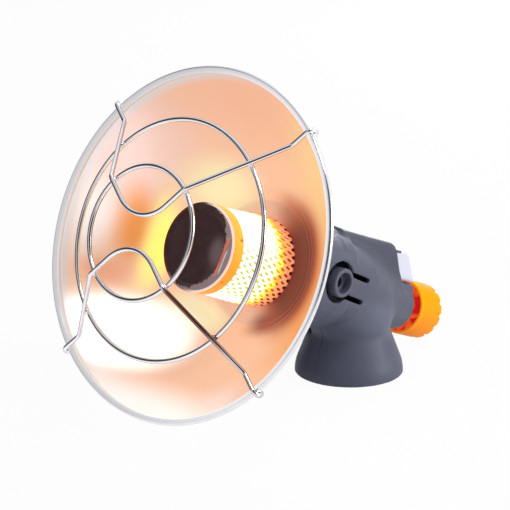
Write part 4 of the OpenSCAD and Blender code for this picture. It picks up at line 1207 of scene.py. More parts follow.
def dome_tree():
    """A flattened dome on every point of the base mesh, pointing along the point's normal."""
    tree, given, out = geometry_tree("Domes", [
        ("Radius", "NodeSocketFloat", 1.0), ("Flatness", "NodeSocketFloat", 0.5),
        ("Material", "NodeSocketMaterial", None)])
    ball = tree.nodes.new("GeometryNodeMeshIcoSphere")
    ball.inputs["Subdivisions"].default_value = 3
    tree.links.new(given["Radius"], ball.inputs["Radius"])
    normal = tree.nodes.new("GeometryNodeInputNormal")
    turn = tree.nodes.new("FunctionNodeAlignRotationToVector")
    turn.axis = "Z"
    tree.links.new(normal.outputs[0], turn.inputs["Vector"])
    size = put(tree, "ShaderNodeCombineXYZ", 1.0, 1.0, given["Flatness"])
    domes = tree.nodes.new("GeometryNodeInstanceOnPoints")
    tree.links.new(given["Geometry"], domes.inputs["Points"])
    tree.links.new(ball.outputs[0], domes.inputs["Instance"])
    tree.links.new(turn.outputs[0], domes.inputs["Rotation"])
    tree.links.new(size.outputs[0], domes.inputs["Scale"])
    end_tree(tree, domes.outputs[0], given, out)
    return tree


def glowing(name, stops, strength, base, roughness=0.6, spots=None, low=MESH_BACK, high=BAND_FRONT):
    """Glowing metal whose colour runs along the burner's axis."""
    finish = Finish(name, Metallic=0.0, Roughness=roughness)
    tree = finish.tree
    place = use_group(tree, axis_group(), Position=finish.position)["Place"]
    parts = put(tree, "ShaderNodeSeparateXYZ", place).outputs
    ragged = noise(tree, place, 0.35, 2.0)
    along = sums(tree, "ADD", parts["Z"], span(tree, ragged, 0.3, 0.7, -1.6, 1.6, "LINEAR"))
    heat = ramp(tree, span(tree, along, low, high, kind="LINEAR"), *stops)
    if spots:
        heat = spots(tree, place, parts, heat)
    finish.set("Emission Color", heat)
    finish.set("Emission Strength", strength)
    finish.set("Base Color", mixed(tree, 0.15, base, heat))
    finish.bump(noise(tree, place, 2.2, 3.0), 0.00006, 0.4)
    return finish.material


def cap_finish():
    """Dark glossy enamel, paler toward its edge and more so on the right, with painted light: a lit patch low
    on the right, a sheen, a reddish glint on the left edge, a warm and a pale reflection and a highlight along
    the lip on the right, the last three glowing.
    """
    finish = Finish("Burner enamel", Metallic=0.0, Specular_IOR_Level=0.25, Coat_Weight=0.15,
                    Coat_Roughness=0.08)
    tree = finish.tree
    place = use_group(tree, axis_group(), Position=finish.position)["Place"]
    parts, distance = axis_parts(tree, finish.position)
    ragged = span(tree, noise(tree, place, 0.28, 4.0, 0.6), 0.3, 0.7, -1.3, 1.3, "LINEAR")
    toward = sums(tree, "MULTIPLY_ADD", parts["X"], 0.16, product(tree, parts["Y"], -0.07))
    reach = sums(tree, "ADD", distance, sums(tree, "ADD", toward, ragged))
    dark = mixed(tree, noise(tree, place, 0.12, 2.0), paint(78, 51, 51), paint(98, 74, 77))
    # Painted light: a lit patch low on the right.
    low = span(tree, sums(tree, "MULTIPLY_ADD", parts["Y"], -0.5, parts["X"]), 11, 17)
    dark = mixed(tree, product(tree, low, 0.6), dark, paint(132, 108, 116))
    # Painted sheen on the right.
    beside = put(tree, "ShaderNodeCombineXYZ", sums(tree, "SUBTRACT", parts["X"], 11.5),
                 product(tree, parts["Y"], 0.7), 0.0)
    sheen = span(tree, vectors(tree, "LENGTH", beside.outputs[0]), 6.5, 1.0, 0.0, 0.6)
    dark = mixed(tree, sheen, dark, paint(190, 164, 168))
    # Paler toward the edge, more so on the right.
    enamel = mixed(tree, span(tree, reach, 17.5, 18.0), dark, paint(204, 178, 180))
    # Painted highlight: a reddish glint along the left edge.
    left = product(tree, span(tree, parts["X"], -6, -14), span(tree, distance, 17.2, 18.4))
    enamel = mixed(tree, product(tree, left, 0.8), enamel, paint(150, 66, 44))
    # Painted reflections on the right: a warm curved line, with a pale one beside it.
    bowed = sums(tree, "MULTIPLY_ADD", parts["Y"], 0.15, 14.9)
    bowed = sums(tree, "MULTIPLY_ADD", product(tree, parts["Y"], parts["Y"]), -0.006, bowed)
    off = sums(tree, "SUBTRACT", parts["X"], bowed)
    warm_reflection = product(tree, span(tree, parts["Y"], -11, -8), span(tree, parts["Y"], 8, 5),
                     span(tree, size_of(tree, off), 0.65, 0.3))
    pale = product(tree, span(tree, size_of(tree, sums(tree, "SUBTRACT", off, 1.3)), 0.5, 0.1),
                   span(tree, parts["Y"], -10, -7), span(tree, parts["Y"], 3, 0))
    enamel = mixed(tree, product(tree, pale, 0.8), enamel, paint(236, 216, 216))
    enamel = mixed(tree, warm_reflection, enamel, paint(220, 104, 66))
    # Painted highlight along the lip on the right.
    lip = product(tree, span(tree, distance, 17.9, 18.2), span(tree, parts["X"], -4, 4))
    enamel = mixed(tree, lip, enamel, paint(252, 226, 214))
    finish.set("Base Color", enamel)
    # The painted highlight and reflections also glow.
    finish.set("Emission Color", enamel)
    lit = sums(tree, "MAXIMUM", product(tree, lip, 0.55), product(tree, warm_reflection, 0.6))
    finish.set("Emission Strength", sums(tree, "MAXIMUM", lit, product(tree, pale, 0.3)))
    marks = use_group(tree, wear_group(), Position=finish.position, Size=120.0, Low=0.16, High=0.3)
    finish.set("Roughness", marks["Roughness"])
    return finish.material


def round_axis(degrees, r, f):
    """Point on the axis's frame at an angle, a radius and a place along it."""
    a = math.radians(degrees)
    return (r * math.cos(a), r * math.sin(a), f)


# Colours along the burner, by share of the way from the mesh's back to the band's front
MESH_STOPS = ((0.0, paint(226, 116, 76)), (0.1, paint(250, 160, 112)), (0.17, paint(250, 182, 70)),
              (0.22, paint(255, 236, 90)), (0.3, paint(255, 255, 226)), (0.8, paint(255, 255, 244)))
GAP_STOPS = ((0.0, paint(110, 26, 16)), (0.1, paint(168, 44, 18)), (0.17, paint(228, 110, 12)),
             (0.22, paint(244, 196, 10)), (0.3, paint(196, 200, 50)), (0.8, paint(206, 208, 90)))
BAND_STOPS = ((0.0, paint(255, 200, 60)), (1.0, paint(246, 176, 76)))


def whitened(tree, place, parts, heat):
    """Fades the mesh's gaps out toward the top."""
    above = product(tree, span(tree, parts["Y"], 0, 9), span(tree, parts["Z"], 73, 79))
    return mixed(tree, above, heat, paint(255, 255, 244))


def spotted(tree, place, parts, heat):
    """Adds six ragged heat spots round the band, and reddens its lower side."""
    ragged = span(tree, noise(tree, place, 1.1, 3.0), 0.3, 0.7, -0.7, 0.7, "LINEAR")
    for i in range(6):
        odd = i % 2
        at = round_axis(22 + 60 * i, BAND_R, BAND_BACK + (3.7 if odd else 1.0))
        near = sums(tree, "ADD", vectors(tree, "DISTANCE", place, at), ragged)
        heat = mixed(tree, span(tree, near, 1.3 - 0.3 * odd, 0.4), heat, paint(196, 76, 34))
    redder = mixed(tree, 1.0, heat, paint(255, 205, 190), "MULTIPLY")
    return mixed(tree, span(tree, parts["Y"], -16, 10), redder, heat)


class HEATER_OT_burner(bpy.types.Operator):
    """Builds the glowing mesh sleeve, its band, cap and inner sleeve"""
    bl_idname = "heater.burner"
    bl_label = "Burner"

    def sleeve(self, chosen):
        """Grows the mesh sleeve along the axis, with its back end cut level."""
        glow = glowing("Glowing mesh", MESH_STOPS, chosen.glow, paint(60, 30, 20))
        sleeve = grown("burner_sleeve", sleeve_tree(), {
            "Rows": chosen.rows, "Cells": chosen.cells, "Length": BAND_BACK + 1.6 - MESH_BACK,
            "Back radius": 19.4, "Front radius": 18.2, "Strand width": chosen.strand,
            "Strand thickness": 0.5, "Stand-out": 0.6, "Lean": chosen.lean, "Material": glow})
        points = np.empty(len(sleeve.data.vertices) * 3)
        sleeve.data.vertices.foreach_get("co", points)
        points = points.reshape(-1, 3)
        points[:, 2] = np.clip(points[:, 2], 0.02, None) + MESH_BACK
        sleeve.data.vertices.foreach_set("co", off_axis(points).ravel())
        sleeve.data.update()
        face_outwards(sleeve, 1e-9)
        shade(sleeve, 40)
        dress(sleeve, "heater", "glowing_mesh", "burner_mesh")

    def inner_sleeve(self):
        """Thin sleeve that shows through the mesh's gaps."""
        back_r, front_r, wall = 18.75, 17.3, 0.3
        inner = lathe("burner_inner_sleeve", [
            (back_r - wall, MESH_BACK), (back_r, MESH_BACK), (front_r, BAND_BACK + 1),
            (front_r - wall, BAND_BACK + 1)], 144)
        glow = glowing("Glowing inner sleeve", GAP_STOPS, 0.9, paint(20, 10, 6), spots=whitened)
        inner.data.materials.append(glow)
        dress(inner, "heater", "glowing_mesh")
        refinish(glow, "flame_diffuser")

    def band(self):
        """Rolled band round the front of the mesh."""
        wall, lip = 0.6, 0.35
        band = lathe("burner_band_rolled", [
            (BAND_R - wall, BAND_BACK), (BAND_R - 0.1, BAND_BACK), (BAND_R, BAND_BACK + 0.15),
            (BAND_R, BAND_FRONT - 0.9), (BAND_R - lip, BAND_FRONT - 0.45), (BAND_R - 0.1, BAND_FRONT),
            (BAND_R - wall, BAND_FRONT)], 192, True, angle=30.0)
        glow = glowing("Glowing band", BAND_STOPS, 0.85, paint(200, 120, 50), 0.4, spotted,
                       BAND_BACK, BAND_FRONT)
        band.data.materials.append(glow)
        dress(band, "heater", "glowing_band", "burner_band")

    def cap(self):
        """Pressed cap, with a bevel to its edge and a skirt that plugs into the band."""
        start, flat = BAND_FRONT + 0.1, BAND_R - CAP_BEVEL
        cap = lathe("burner_cap_pressed", [
            (0.0, start + 1.5), (6.0, start + 1.55), (flat - 1.2, start + 1.68), (flat - 0.4, start + 1.8),
            (flat + 0.2, start + 1.72), (BAND_R - 0.9, start + 0.62), (BAND_R - 0.45, start + 0.62),
            (BAND_R, start + 0.45), (BAND_R + 0.02, start + 0.15), (BAND_R - 0.2, start),
            (BAND_R - 0.65, start), (BAND_R - 0.65, start - 2.4), (BAND_R - 1.25, start - 2.4),
            (BAND_R - 1.25, start + 0.1), (flat - 0.2, start + 1.2), (0.0, start + 1.0)],
            192, False, angle=28.0)
        cap.data.materials.append(cap_finish())
        dress(cap, "heater", "enamel", "burner_cap")

    def execute(self, context):
        self.sleeve(context.scene.heater_burner)
        self.inner_sleeve()
        self.band()
        self.cap()
        return {"FINISHED"}


def leg_line():
    """Middle line of a guard leg, from the flat middle to the end of its hook, as distance and height."""
    start, inner = (GUARD_BEND_R, GUARD_RISE), (LEG_BREAK_R, GUARD_RISE)
    foot, crest = (LEG_FOOT_R, HOOK_R), (BEAD_RING_R, HOOK_R)
    return np.concatenate([
        bend(start, inner, foot, 4.0, 8), bend(inner, foot, crest, 4.0, 8),
        arc((BEAD_RING_R, 0), HOOK_R, 90, -80, 30)])


def guard_path():
    """Middle line of one guard wire: a leg, a round bend in the middle, and a second leg at a right angle."""
    leg = leg_line()
    flat = arc((GUARD_BEND_R, GUARD_BEND_R), GUARD_BEND_R, 270, 180, 36)
    first = np.stack([leg[::-1, 0], 0 * leg[:, 0], leg[::-1, 1]], -1)
    middle = np.stack([flat[:, 0], flat[:, 1], 0 * flat[:, 0] + GUARD_RISE], -1)
    last = np.stack([0 * leg[:, 0], leg[:, 0], leg[:, 1]], -1)
    return evenly(np.concatenate([first, middle, last]), 3.6)


def evenly(path, spacing):
    """The same path without doubled points, with no two further apart than the spacing."""
    rows = [path[0]]
    for a, b in zip(path[:-1], path[1:]):
        gap = np.linalg.norm(b - a)
        if gap < 1e-6:
            continue
        pieces = max(1, int(math.ceil(gap / spacing)))
        rows += [a + (b - a) * k / pieces for k in range(1, pieces + 1)]
    return np.array(rows)


def turned(points, degrees, lift):
    """Points turned about the axis and moved forward along it."""
    a = math.radians(degrees)
    c, s = math.cos(a), math.sin(a)
    x, y = points[:, 0], points[:, 1]
    return np.stack([x * c - y * s, x * s + y * c, points[:, 2] + lift], -1)


def plated_wire(chosen):
    """Bright plating, with painted shade along its outlines where it turns from view, and browner on the leg
    below the burner.
    """
    finish = bare_metal("Plated wire", tuple(chosen.colour), 0.05, 0.12, shade=0.1, grain=0.000004)
    tree = finish.tree
    parts, _ = axis_parts(tree, finish.position)
    # Browner along the leg below the burner, fading toward its foot.
    a = math.radians(LEG_TURNS[-1])
    along = sums(tree, "MULTIPLY_ADD", parts["X"], math.cos(a), product(tree, parts["Y"], math.sin(a)))
    aside = sums(tree, "MULTIPLY_ADD", parts["X"], math.sin(a), product(tree, parts["Y"], -math.cos(a)))
    tint = product(tree, span(tree, size_of(tree, aside), 1.8, 1.3), span(tree, along, 27, 31),
                   span(tree, along, 64, 46, 0.25, 0.92))
    plain = finish.shader.inputs["Base Color"].links[0].from_socket
    colour = mixed(tree, tint, plain, paint(112, 50, 32))
    # Painted shade: darker and less metallic where the wire turns from view.
    edge = span(tree, put(tree, "ShaderNodeLayerWeight", 0.5).outputs["Facing"], 0.42, 0.8)
    finish.set("Base Color", mixed(tree, product(tree, edge, 0.75), colour, paint(92, 90, 96)))
    finish.set("Metallic", span(tree, edge, 0.0, 1.0, 1.0, 0.35))
    return finish.material


class HEATER_OT_guard(bpy.types.Operator):
    """Builds the plated wire guard with its two rings and their welds"""
    bl_idname = "heater.guard"
    bl_label = "Guard"

    def wire(self, name, path, radius, plating, closed=False):
        """Sweeps one wire of the guard and dresses it in place of its node."""
        obj = sweep(name + "_bent", path, radius, 16, closed=closed)
        obj.data.materials.append(plating)
        dress(obj, "heater", "chrome_wire", name)

    def execute(self, context):
        chosen = context.scene.heater_guard
        plating = plated_wire(chosen)
        for name, degrees in (("guard_wire_upper", LEG_TURNS[0]), ("guard_wire_lower", LEG_TURNS[2])):
            self.wire(name, turned(guard_path(), degrees, RIM), chosen.wire, plating)
        slope = (GUARD_RISE - HOOK_R) / (LEG_FOOT_R - LEG_BREAK_R)
        drop = WIRE_STEP / math.cos(math.atan(slope))
        outer_rise = HOOK_R + slope * (LEG_FOOT_R - RING_OUTER_R) - drop
        welds = []
        for name, r, rise in (("guard_ring_outer", RING_OUTER_R, outer_rise),
                              ("guard_ring_inner", RING_INNER_R, GUARD_RISE - WIRE_STEP)):
            path = np.array([round_axis(360 * i / 160, r, RIM + rise) for i in range(160)])
            self.wire(name, path, chosen.wire, plating, closed=True)
            welds += [round_axis(degrees, r, RIM + rise + WELD_LIFT) for degrees in LEG_TURNS]
        seeds = bpy.data.meshes.new("weld points")
        seeds.from_pydata(off_axis(welds).tolist(), [], [])
        values = {"Radius": chosen.weld * MM, "Flatness": 0.8, "Material": plating}
        obj = grown("guard_welds", dome_tree(), values, seeds, 60)
        dress(obj, "heater", "chrome_wire")
        return {"FINISHED"}


def knob_mesh(notches, depth):
    """Cup of the knob with its finger notches, web and hub."""
    r, bore = KNOB_R, KNOB_R - KNOB_WALL
    turns = notches * 24
    a = np.arange(turns) / turns * 2 * math.pi
    wave = np.abs(((a * notches / (2 * math.pi) + 0.5) % 1) - 0.5) * 2
    notch = np.sqrt(np.clip(1 - (wave / 0.36) ** 2, 0, 1))
    # Radius, place along the axis and share of the notches' depth, once round the profile
    rows = [(KNOB_BORE_R, KNOB_BACK + 2.4, 0), (KNOB_BORE_R, KNOB_BACK + 0.5, 0), (6.9, KNOB_BACK, 0),
            (r - 1.5, KNOB_BACK, 0.3), (r - 0.8, KNOB_BACK + 0.12, 0.7), (r - 0.3, KNOB_BACK + 0.45, 0.95),
            (r, KNOB_BACK + 1.2, 1.0), (r, KNOB_BACK + 2.4, 1.0), (r, KNOB_BACK + 3.2, 0.9),
            (r, KNOB_BACK + 3.8, 0.55), (r, KNOB_BACK + 4.2, 0.0), (r, KNOB_BACK + 6, 0),
            (r, KNOB_FRONT - 1.2, 0), (r - 0.12, KNOB_FRONT - 0.4, 0), (r - 0.4, KNOB_FRONT - 0.08, 0),
            (r - 0.75, KNOB_FRONT, 0), (r - 1.1, KNOB_FRONT - 0.08, 0), (r - 1.4, KNOB_FRONT - 0.4, 0),
            (bore, KNOB_FRONT - 1.0, 0), (bore, KNOB_FRONT - 5, 0), (bore, KNOB_WEB + 0.8, 0),
            (bore - 0.15, KNOB_WEB + 0.3, 0), (bore - 0.6, KNOB_WEB, 0), (8.0, KNOB_WEB, 0),
            (5.3, KNOB_WEB, 0), (4.8, KNOB_WEB + 0.1, 0), (4.6, KNOB_WEB + 0.5, 0),
            (4.6, KNOB_FRONT - 2.5, 0), (4.3, KNOB_FRONT - 2.0, 0),
            (2.05, KNOB_FRONT - 2.0, 0), (2.05, KNOB_BACK + 2.4, 0)]
    points = []
    for radius, f, share in rows:
        edge = radius - depth * share * notch
        points.append(np.stack([edge * np.cos(a), KNOB_RISE + edge * np.sin(a), f + 0 * a], -1))
    return np.concatenate(points), ring_faces(len(rows), turns, True)


def add_ribs(obj):
    """Adds the ribs that join the knob's hub to its rim, with rounded edges."""
    work = bmesh.new()
    work.from_mesh(obj.data)
    for degrees in KNOB_RIBS:
        a = math.radians(degrees)
        along, aside = np.array([math.cos(a), math.sin(a)]), np.array([-math.sin(a), math.cos(a)])
        made = []
        for f in (KNOB_BACK + 4.75, KNOB_BACK + 7.3):
            for radius in (4.4, 11.6):
                for side in (-0.6, 0.6):
                    x, v = along * radius + aside * side
                    made.append(work.verts.new(off_axis((x, KNOB_RISE + v, f))))
        hull = bmesh.ops.convex_hull(work, input=made)
        edges = [part for part in hull["geom"] if isinstance(part, bmesh.types.BMEdge)]
        bmesh.ops.bevel(work, geom=edges, offset=0.2 * MM, segments=2, profile=0.5, affect="EDGES")
    work.to_mesh(obj.data)
    work.free()


class HEATER_OT_knob(bpy.types.Operator):
    """Builds the gas knob"""
    bl_idname = "heater.knob"
    bl_label = "Knob"

    def plastic(self, chosen):
        """Orange plastic with painted light: yellower at the top than at the bottom, a faint painted glow that
        is stronger on the front rim, and the inside of the cup painted dark red as shade, glowing for light
        that comes through.
        """
        finish = moulded("Knob plastic", tuple(chosen.colour), 0.42, 0.54, grain=0.00002, shade=0.06,
                         Specular_IOR_Level=0.04)
        tree = finish.tree
        parts, _ = axis_parts(tree, finish.position)
        above = sums(tree, "SUBTRACT", parts["Y"], KNOB_RISE)
        r = vectors(tree, "LENGTH", put(tree, "ShaderNodeCombineXYZ", parts["X"], above, 0.0).outputs[0])
        inside = product(tree, span(tree, r, 11.7, 11.3),
                         span(tree, parts["Z"], KNOB_BACK + 3.5, KNOB_BACK + 4.5))
        # Painted light: the outside yellower at the top, more orange at the bottom.
        height = span(tree, parts["Y"], KNOB_RISE - 12, KNOB_RISE + 10)
        outside = mixed(tree, height, paint(246, 146, 44), tuple(chosen.colour))
        # Painted shade inside the cup: reds that change at random, half darkened in colour and given off as a
        # painted glow.
        patches = span(tree, noise(tree, scaled(tree, finish.position, 1 / MM), 0.12, 1.0), 0.42, 0.58)
        inner_shade_and_glow = mixed(tree, patches, paint(205, 32, 34), paint(242, 104, 44))
        finish.set("Base Color", mixed(tree, inside, outside, mixed(tree, 0.5, inner_shade_and_glow, (0, 0, 0, 1))))
        finish.set("Emission Color", mixed(tree, inside, outside, inner_shade_and_glow))
        # Painted glow along the front rim, a faint one over the outside and a stronger one inside the cup.
        edge = product(tree, span(tree, parts["Z"], KNOB_FRONT - 1.4, KNOB_FRONT - 0.8), 0.3)
        finish.set("Emission Strength", sums(tree, "ADD", edge, span(tree, inside, 0.0, 1.0, 0.1, 0.6)))
        return finish.material

    def execute(self, context):
        chosen = context.scene.heater_knob
        points, faces = knob_mesh(chosen.notches, chosen.depth)
        obj = mesh_object("knob_cup", off_axis(points), faces, 32)
        face_outwards(obj)
        add_ribs(obj)
        shade(obj, 32)
        obj.data.materials.append(self.plastic(chosen))
        dress(obj, "knob", "knob", "knob")
        return {"FINISHED"}


def button_distance(p):
    """Distance to the hollow push button, with a hub inside that is bored for the plunger."""
    x, v, f = onto_axis(p)
    back = (SPINE_FACE - BUTTON_DEPTH + (v - IGNITER_RISE) * math.tan(BUTTON_LEAN) - f) * math.cos(BUTTON_LEAN)

    def block(inset):
        """Distance to the button's top, back and foot, moved in all round."""
        side = smooth_max(v - BUTTON_TOP + inset, back + inset, 3.2)
        return smooth_max(side, BUTTON_FOOT - v + inset, 1.6)

    outer = smooth_max(block(0), np.abs(x) - BUTTON_HALF, 1.8)
    outer = np.maximum(outer, f - BUTTON_FRONT)
    hollow = np.maximum(block(BUTTON_WALL), np.abs(x) - BUTTON_HALF + BUTTON_WALL)
    shell = smooth_max(outer, -hollow, 0.3)
    r = np.hypot(x, v - IGNITER_RISE)
    hub = np.maximum(np.maximum(r - BUTTON_HUB_R, f - BUTTON_HUB_FRONT), outer + SINK)
    return smooth_max(np.minimum(shell, hub), -np.maximum(r - PLUNGER_R, PLUNGER_BACK - f), 0.2)


class HEATER_OT_button(bpy.types.Operator):
    """Builds the igniter's push button"""
    bl_idname = "heater.button"
    bl_label = "Button"

    def execute(self, context):
        chosen = context.scene.heater_button
        low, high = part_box("igniter_button")
        points, quads = contour(button_distance, np.array(low) / MM - 0.9, np.array(high) / MM + 0.9, 0.4)
        obj = mesh_object("button_cap", points * MM, quads, 38)
        finish = moulded("Button plastic", tuple(chosen.colour), 0.3, 0.4, grain=0.000015, shade=0.03,
                         Subsurface_Weight=0.1, Subsurface_Radius=(0.003, 0.003, 0.0035))
        obj.data.materials.append(finish.material)
        dress(obj, "button", "button", "igniter_button")
        return {"FINISHED"}


class HEATER_OT_works(bpy.types.Operator):
    """Gives the valve, tubes, fasteners and igniter their materials"""
    bl_idname = "heater.works"
    bl_label = "Inner works"

    def execute(self, context):
        brass = bare_metal("Turned brass", paint(214, 178, 96), 0.22, 0.36).material
        steel = bare_metal("Zinc-plated steel", paint(196, 198, 204), 0.26, 0.4).material
        black = bare_metal("Blackened steel", paint(52, 52, 58), 0.4, 0.55).material
        rubber = moulded("Black rubber", paint(30, 30, 32), 0.6, 0.8).material
        ceramic = moulded("Glazed ceramic", paint(236, 230, 216), 0.12, 0.26).material
        igniter = moulded("Igniter case", paint(40, 40, 44), 0.36, 0.5).material
        plunger = moulded("Plunger plastic", paint(96, 78, 66), 0.4, 0.5).material
        enamel = moulded("Cup enamel", paint(58, 42, 42), 0.3, 0.5, Metallic=0.4).material
        refinish(brass, "gas_jet", "valve_body", "gland_nut", "opening_pin")
        refinish(black, "housing_screws")
        refinish(steel, "mounting_collar", "reflector_nut", "mixing_tube", "spindle",
                 "knob_screw", "electrode")
        refinish(rubber, "cartridge_seal", "spindle_seal", "ignition_lead")
        refinish(ceramic, "electrode_insulator")
        refinish(igniter, "piezo_igniter")
        refinish(plunger, "igniter_plunger")
        refinish(enamel, "burner_cup")
        self.spring(steel)
        return {"FINISHED"}

    def spring(self, steel):
        """Coils the igniter's return spring."""
        wire, turns, steps = 0.3, 6, 24
        points = np.array([v.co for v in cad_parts["igniter_spring"].data.vertices]) / MM
        x, v, f = onto_axis(points)
        r, back, front = x.max() - wire, f.min() + wire, f.max() - wire
        a = np.arange(turns * steps + 1) / steps * 2 * math.pi
        path = np.stack([r * np.cos(a), IGNITER_RISE + r * np.sin(a), np.linspace(back, front, len(a))], -1)
        obj = sweep("igniter_spring_coil", path, wire, 8)
        obj.data.materials.append(steel)
        dress(obj, "heater", "steel", "igniter_spring")
        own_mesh(obj)


# ---- Stage ----

CAMERA_TURN, CAMERA_RISE = 41.97, 16.55
CAMERA_PLACE = (0.6730, -0.8114, 0.3590)
CAMERA_LENS = 174.5
# Dark parts of the studio as mirrors see it: turn, rise, full half angle, outer half angle and colour
DARK_PANELS = (
    (-70, 18, 24, 42, (0.04, 0.034, 0.04, 1)),
    (58, 31, 24, 37, (0.02, 0.014, 0.018, 1)),
)


def backward(turn, rise):
    """Way from the object to a place at a turn from the front and a rise, in degrees."""
    a, e = math.radians(turn), math.radians(rise)
    return Vector((math.sin(a) * math.cos(e), -math.cos(a) * math.cos(e), math.sin(e)))


def aim(obj, place, target):
    """Puts a lamp or a camera at a place and points it at a target."""
    obj.location = place
    obj.rotation_euler = (Vector(target) - Vector(place)).to_track_quat("-Z", "Y").to_euler()


def lamp(name, power, size, turn, rise, distance, target=(0, -0.05, 0.05)):
    """Round area lamp that shines at a target from a turn, a rise and a distance."""
    data = bpy.data.lights.new(name, "AREA")
    data.energy = power
    data.shape = "DISK"
    data.size = size
    obj = bpy.data.objects.new(name, data)
    bpy.context.scene.collection.objects.link(obj)
    aim(obj, Vector(target) + backward(turn, rise) * distance, target)
    return obj


def shader_mix(tree, share, first, second):
    """Mixes two shaders."""
    mix = tree.nodes.new("ShaderNodeMixShader")
    for socket, source in zip(mix.inputs, (share, first, second)):
        tree.links.new(source, socket)
    return mix.outputs[0]


def white_mix(tree, lit, share):
    """Mixes a lit surface with plain white, which only the camera, mirrors and glass see."""
    path = tree.nodes.new("ShaderNodeLightPath").outputs
    seen = sums(tree, "MAXIMUM", path["Is Camera Ray"],
                sums(tree, "MAXIMUM", path["Is Glossy Ray"], path["Is Transmission Ray"]))
    white = put(tree, "ShaderNodeEmission", (1, 1, 1, 1), 1.0)
    return shader_mix(tree, product(tree, seen, share), lit, white.outputs[0])


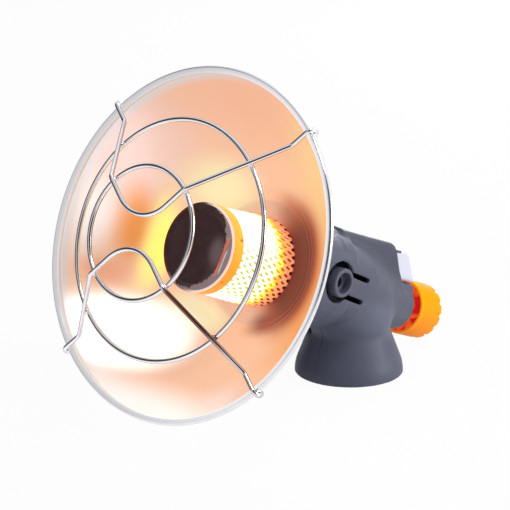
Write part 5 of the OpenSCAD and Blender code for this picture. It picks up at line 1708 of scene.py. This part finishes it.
class HEATER_OT_stage(bpy.types.Operator):
    """Sets the floor, the lights, the world and the camera"""
    bl_idname = "heater.stage"
    bl_label = "Stage"

    def floor(self):
        """Pale floor just below the object, almost white to the camera."""
        bpy.ops.mesh.primitive_grid_add(x_subdivisions=8, y_subdivisions=8, size=14)
        floor = bpy.context.object
        floor.name = "floor"
        floor.location = (0, 0, float(CAD_BOX[0][2]) - 0.0002)
        finish = Finish("Pale floor", Roughness=0.7)
        paler = noise(finish.tree, finish.position, 3.0, 2.0)
        finish.set("Base Color", mixed(finish.tree, paler, paint(248, 248, 249), paint(252, 252, 252)))
        out = next(n for n in finish.tree.nodes if n.type == "OUTPUT_MATERIAL")
        finish.tree.links.new(white_mix(finish.tree, finish.shader.outputs[0], 0.95), out.inputs["Surface"])
        floor.data.materials.append(finish.material)
        floor.visible_glossy = False

    def world(self, scene):
        """White studio to the camera, soft light for surfaces and dark panels for mirrors."""
        world = bpy.data.worlds.new("Studio")
        scene.world = world
        world.use_nodes = True
        tree = world.node_tree
        tree.nodes.clear()
        out = tree.nodes.new("ShaderNodeOutputWorld")
        way = tree.nodes.new("ShaderNodeTexCoord").outputs["Generated"]
        up = put(tree, "ShaderNodeSeparateXYZ", way).outputs["Z"]
        aside = vectors(tree, "DOT_PRODUCT", way, tuple(backward(118, 0)))
        sky = ramp(tree, span(tree, up, -0.2, 0.9, kind="LINEAR"),
                   (0.0, (0.7, 0.7, 0.72, 1)), (1.0, (0.5, 0.5, 0.52, 1)))
        soft = put(tree, "ShaderNodeBackground", sky, span(tree, aside, -1.0, 1.0, 0.13, 0.62))
        front = vectors(tree, "DOT_PRODUCT", way, tuple(backward(0, 0)))
        veil = product(tree, span(tree, up, -0.3, 0.05), span(tree, front, -0.3, 0.15))
        mirror = mixed(tree, veil, (1, 1, 1, 1), (0.52, 0.51, 0.54, 1))
        for turn, rise, inner, outer, colour in DARK_PANELS:
            ahead = vectors(tree, "DOT_PRODUCT", way, tuple(backward(turn, rise)))
            dark = span(tree, ahead, math.cos(math.radians(outer)), math.cos(math.radians(inner)))
            mirror = mixed(tree, dark, mirror, colour)
        glossy = put(tree, "ShaderNodeBackground", mirror, 1.0)
        white = put(tree, "ShaderNodeBackground", (1, 1, 1, 1), 1.0)
        path = tree.nodes.new("ShaderNodeLightPath").outputs
        lit = shader_mix(tree, path["Is Glossy Ray"], soft.outputs[0], glossy.outputs[0])
        seen = sums(tree, "MAXIMUM", path["Is Camera Ray"], path["Is Transmission Ray"])
        tree.links.new(shader_mix(tree, seen, lit, white.outputs[0]), out.inputs["Surface"])

    def camera(self, scene):
        """Long lens at its own place, a little above the object."""
        data = bpy.data.cameras.new("Camera")
        data.lens = CAMERA_LENS
        data.sensor_width = 36
        data.clip_start = 0.05
        camera = bpy.data.objects.new("Camera", data)
        scene.collection.objects.link(camera)
        place = Vector(CAMERA_PLACE)
        aim(camera, place, place - backward(CAMERA_TURN, CAMERA_RISE))
        scene.camera = camera

    def execute(self, context):
        chosen = context.scene.heater_stage
        self.floor()
        self.world(context.scene)
        lamp("Key", chosen.key, 0.5, 122, 16, 1.1)
        fill = lamp("Fill", chosen.fill, 0.9, 20, 18, 1.3)
        fill.visible_glossy = False
        lamp("Back", chosen.back, 0.3, 200, 18, 1.1)
        lamp("Top", chosen.top, 0.25, 75, 66, 0.9, (0, 0, 0.04))
        self.camera(context.scene)
        context.scene.view_settings.view_transform = "Standard"
        return {"FINISHED"}


class HEATER_PT_panel(bpy.types.Panel):
    """Lists the settings and the pieces"""
    bl_idname = "HEATER_PT_panel"
    bl_label = "Heater"
    bl_space_type = "VIEW_3D"
    bl_region_type = "UI"
    bl_category = "Heater"

    def draw(self, context):
        for holder, group, operator in PIECES:
            box = self.layout.box()
            box.operator(operator.bl_idname)
            if holder:
                settings = getattr(context.scene, holder)
                for name in group.__annotations__:
                    box.prop(settings, name)


PIECES = (
    ("heater_housing", HeaterHousing, HEATER_OT_housing),
    ("heater_reflector", HeaterReflector, HEATER_OT_reflector),
    ("heater_burner", HeaterBurner, HEATER_OT_burner),
    ("heater_guard", HeaterGuard, HEATER_OT_guard),
    ("heater_knob", HeaterKnob, HEATER_OT_knob),
    ("heater_button", HeaterButton, HEATER_OT_button),
    (None, None, HEATER_OT_works),
    ("heater_stage", HeaterStage, HEATER_OT_stage),
)


def register():
    for holder, group, operator in PIECES:
        if group:
            bpy.utils.register_class(group)
            setattr(bpy.types.Scene, holder, PointerProperty(type=group))
        bpy.utils.register_class(operator)
    bpy.utils.register_class(HEATER_PT_panel)


def unregister():
    bpy.utils.unregister_class(HEATER_PT_panel)
    for holder, group, operator in reversed(PIECES):
        bpy.utils.unregister_class(operator)
        if group:
            delattr(bpy.types.Scene, holder)
            bpy.utils.unregister_class(group)


def main():
    register()
    for _, _, operator in PIECES:
        space, name = operator.bl_idname.split(".")
        getattr(getattr(bpy.ops, space), name)()


if __name__ == "__main__":
    main()
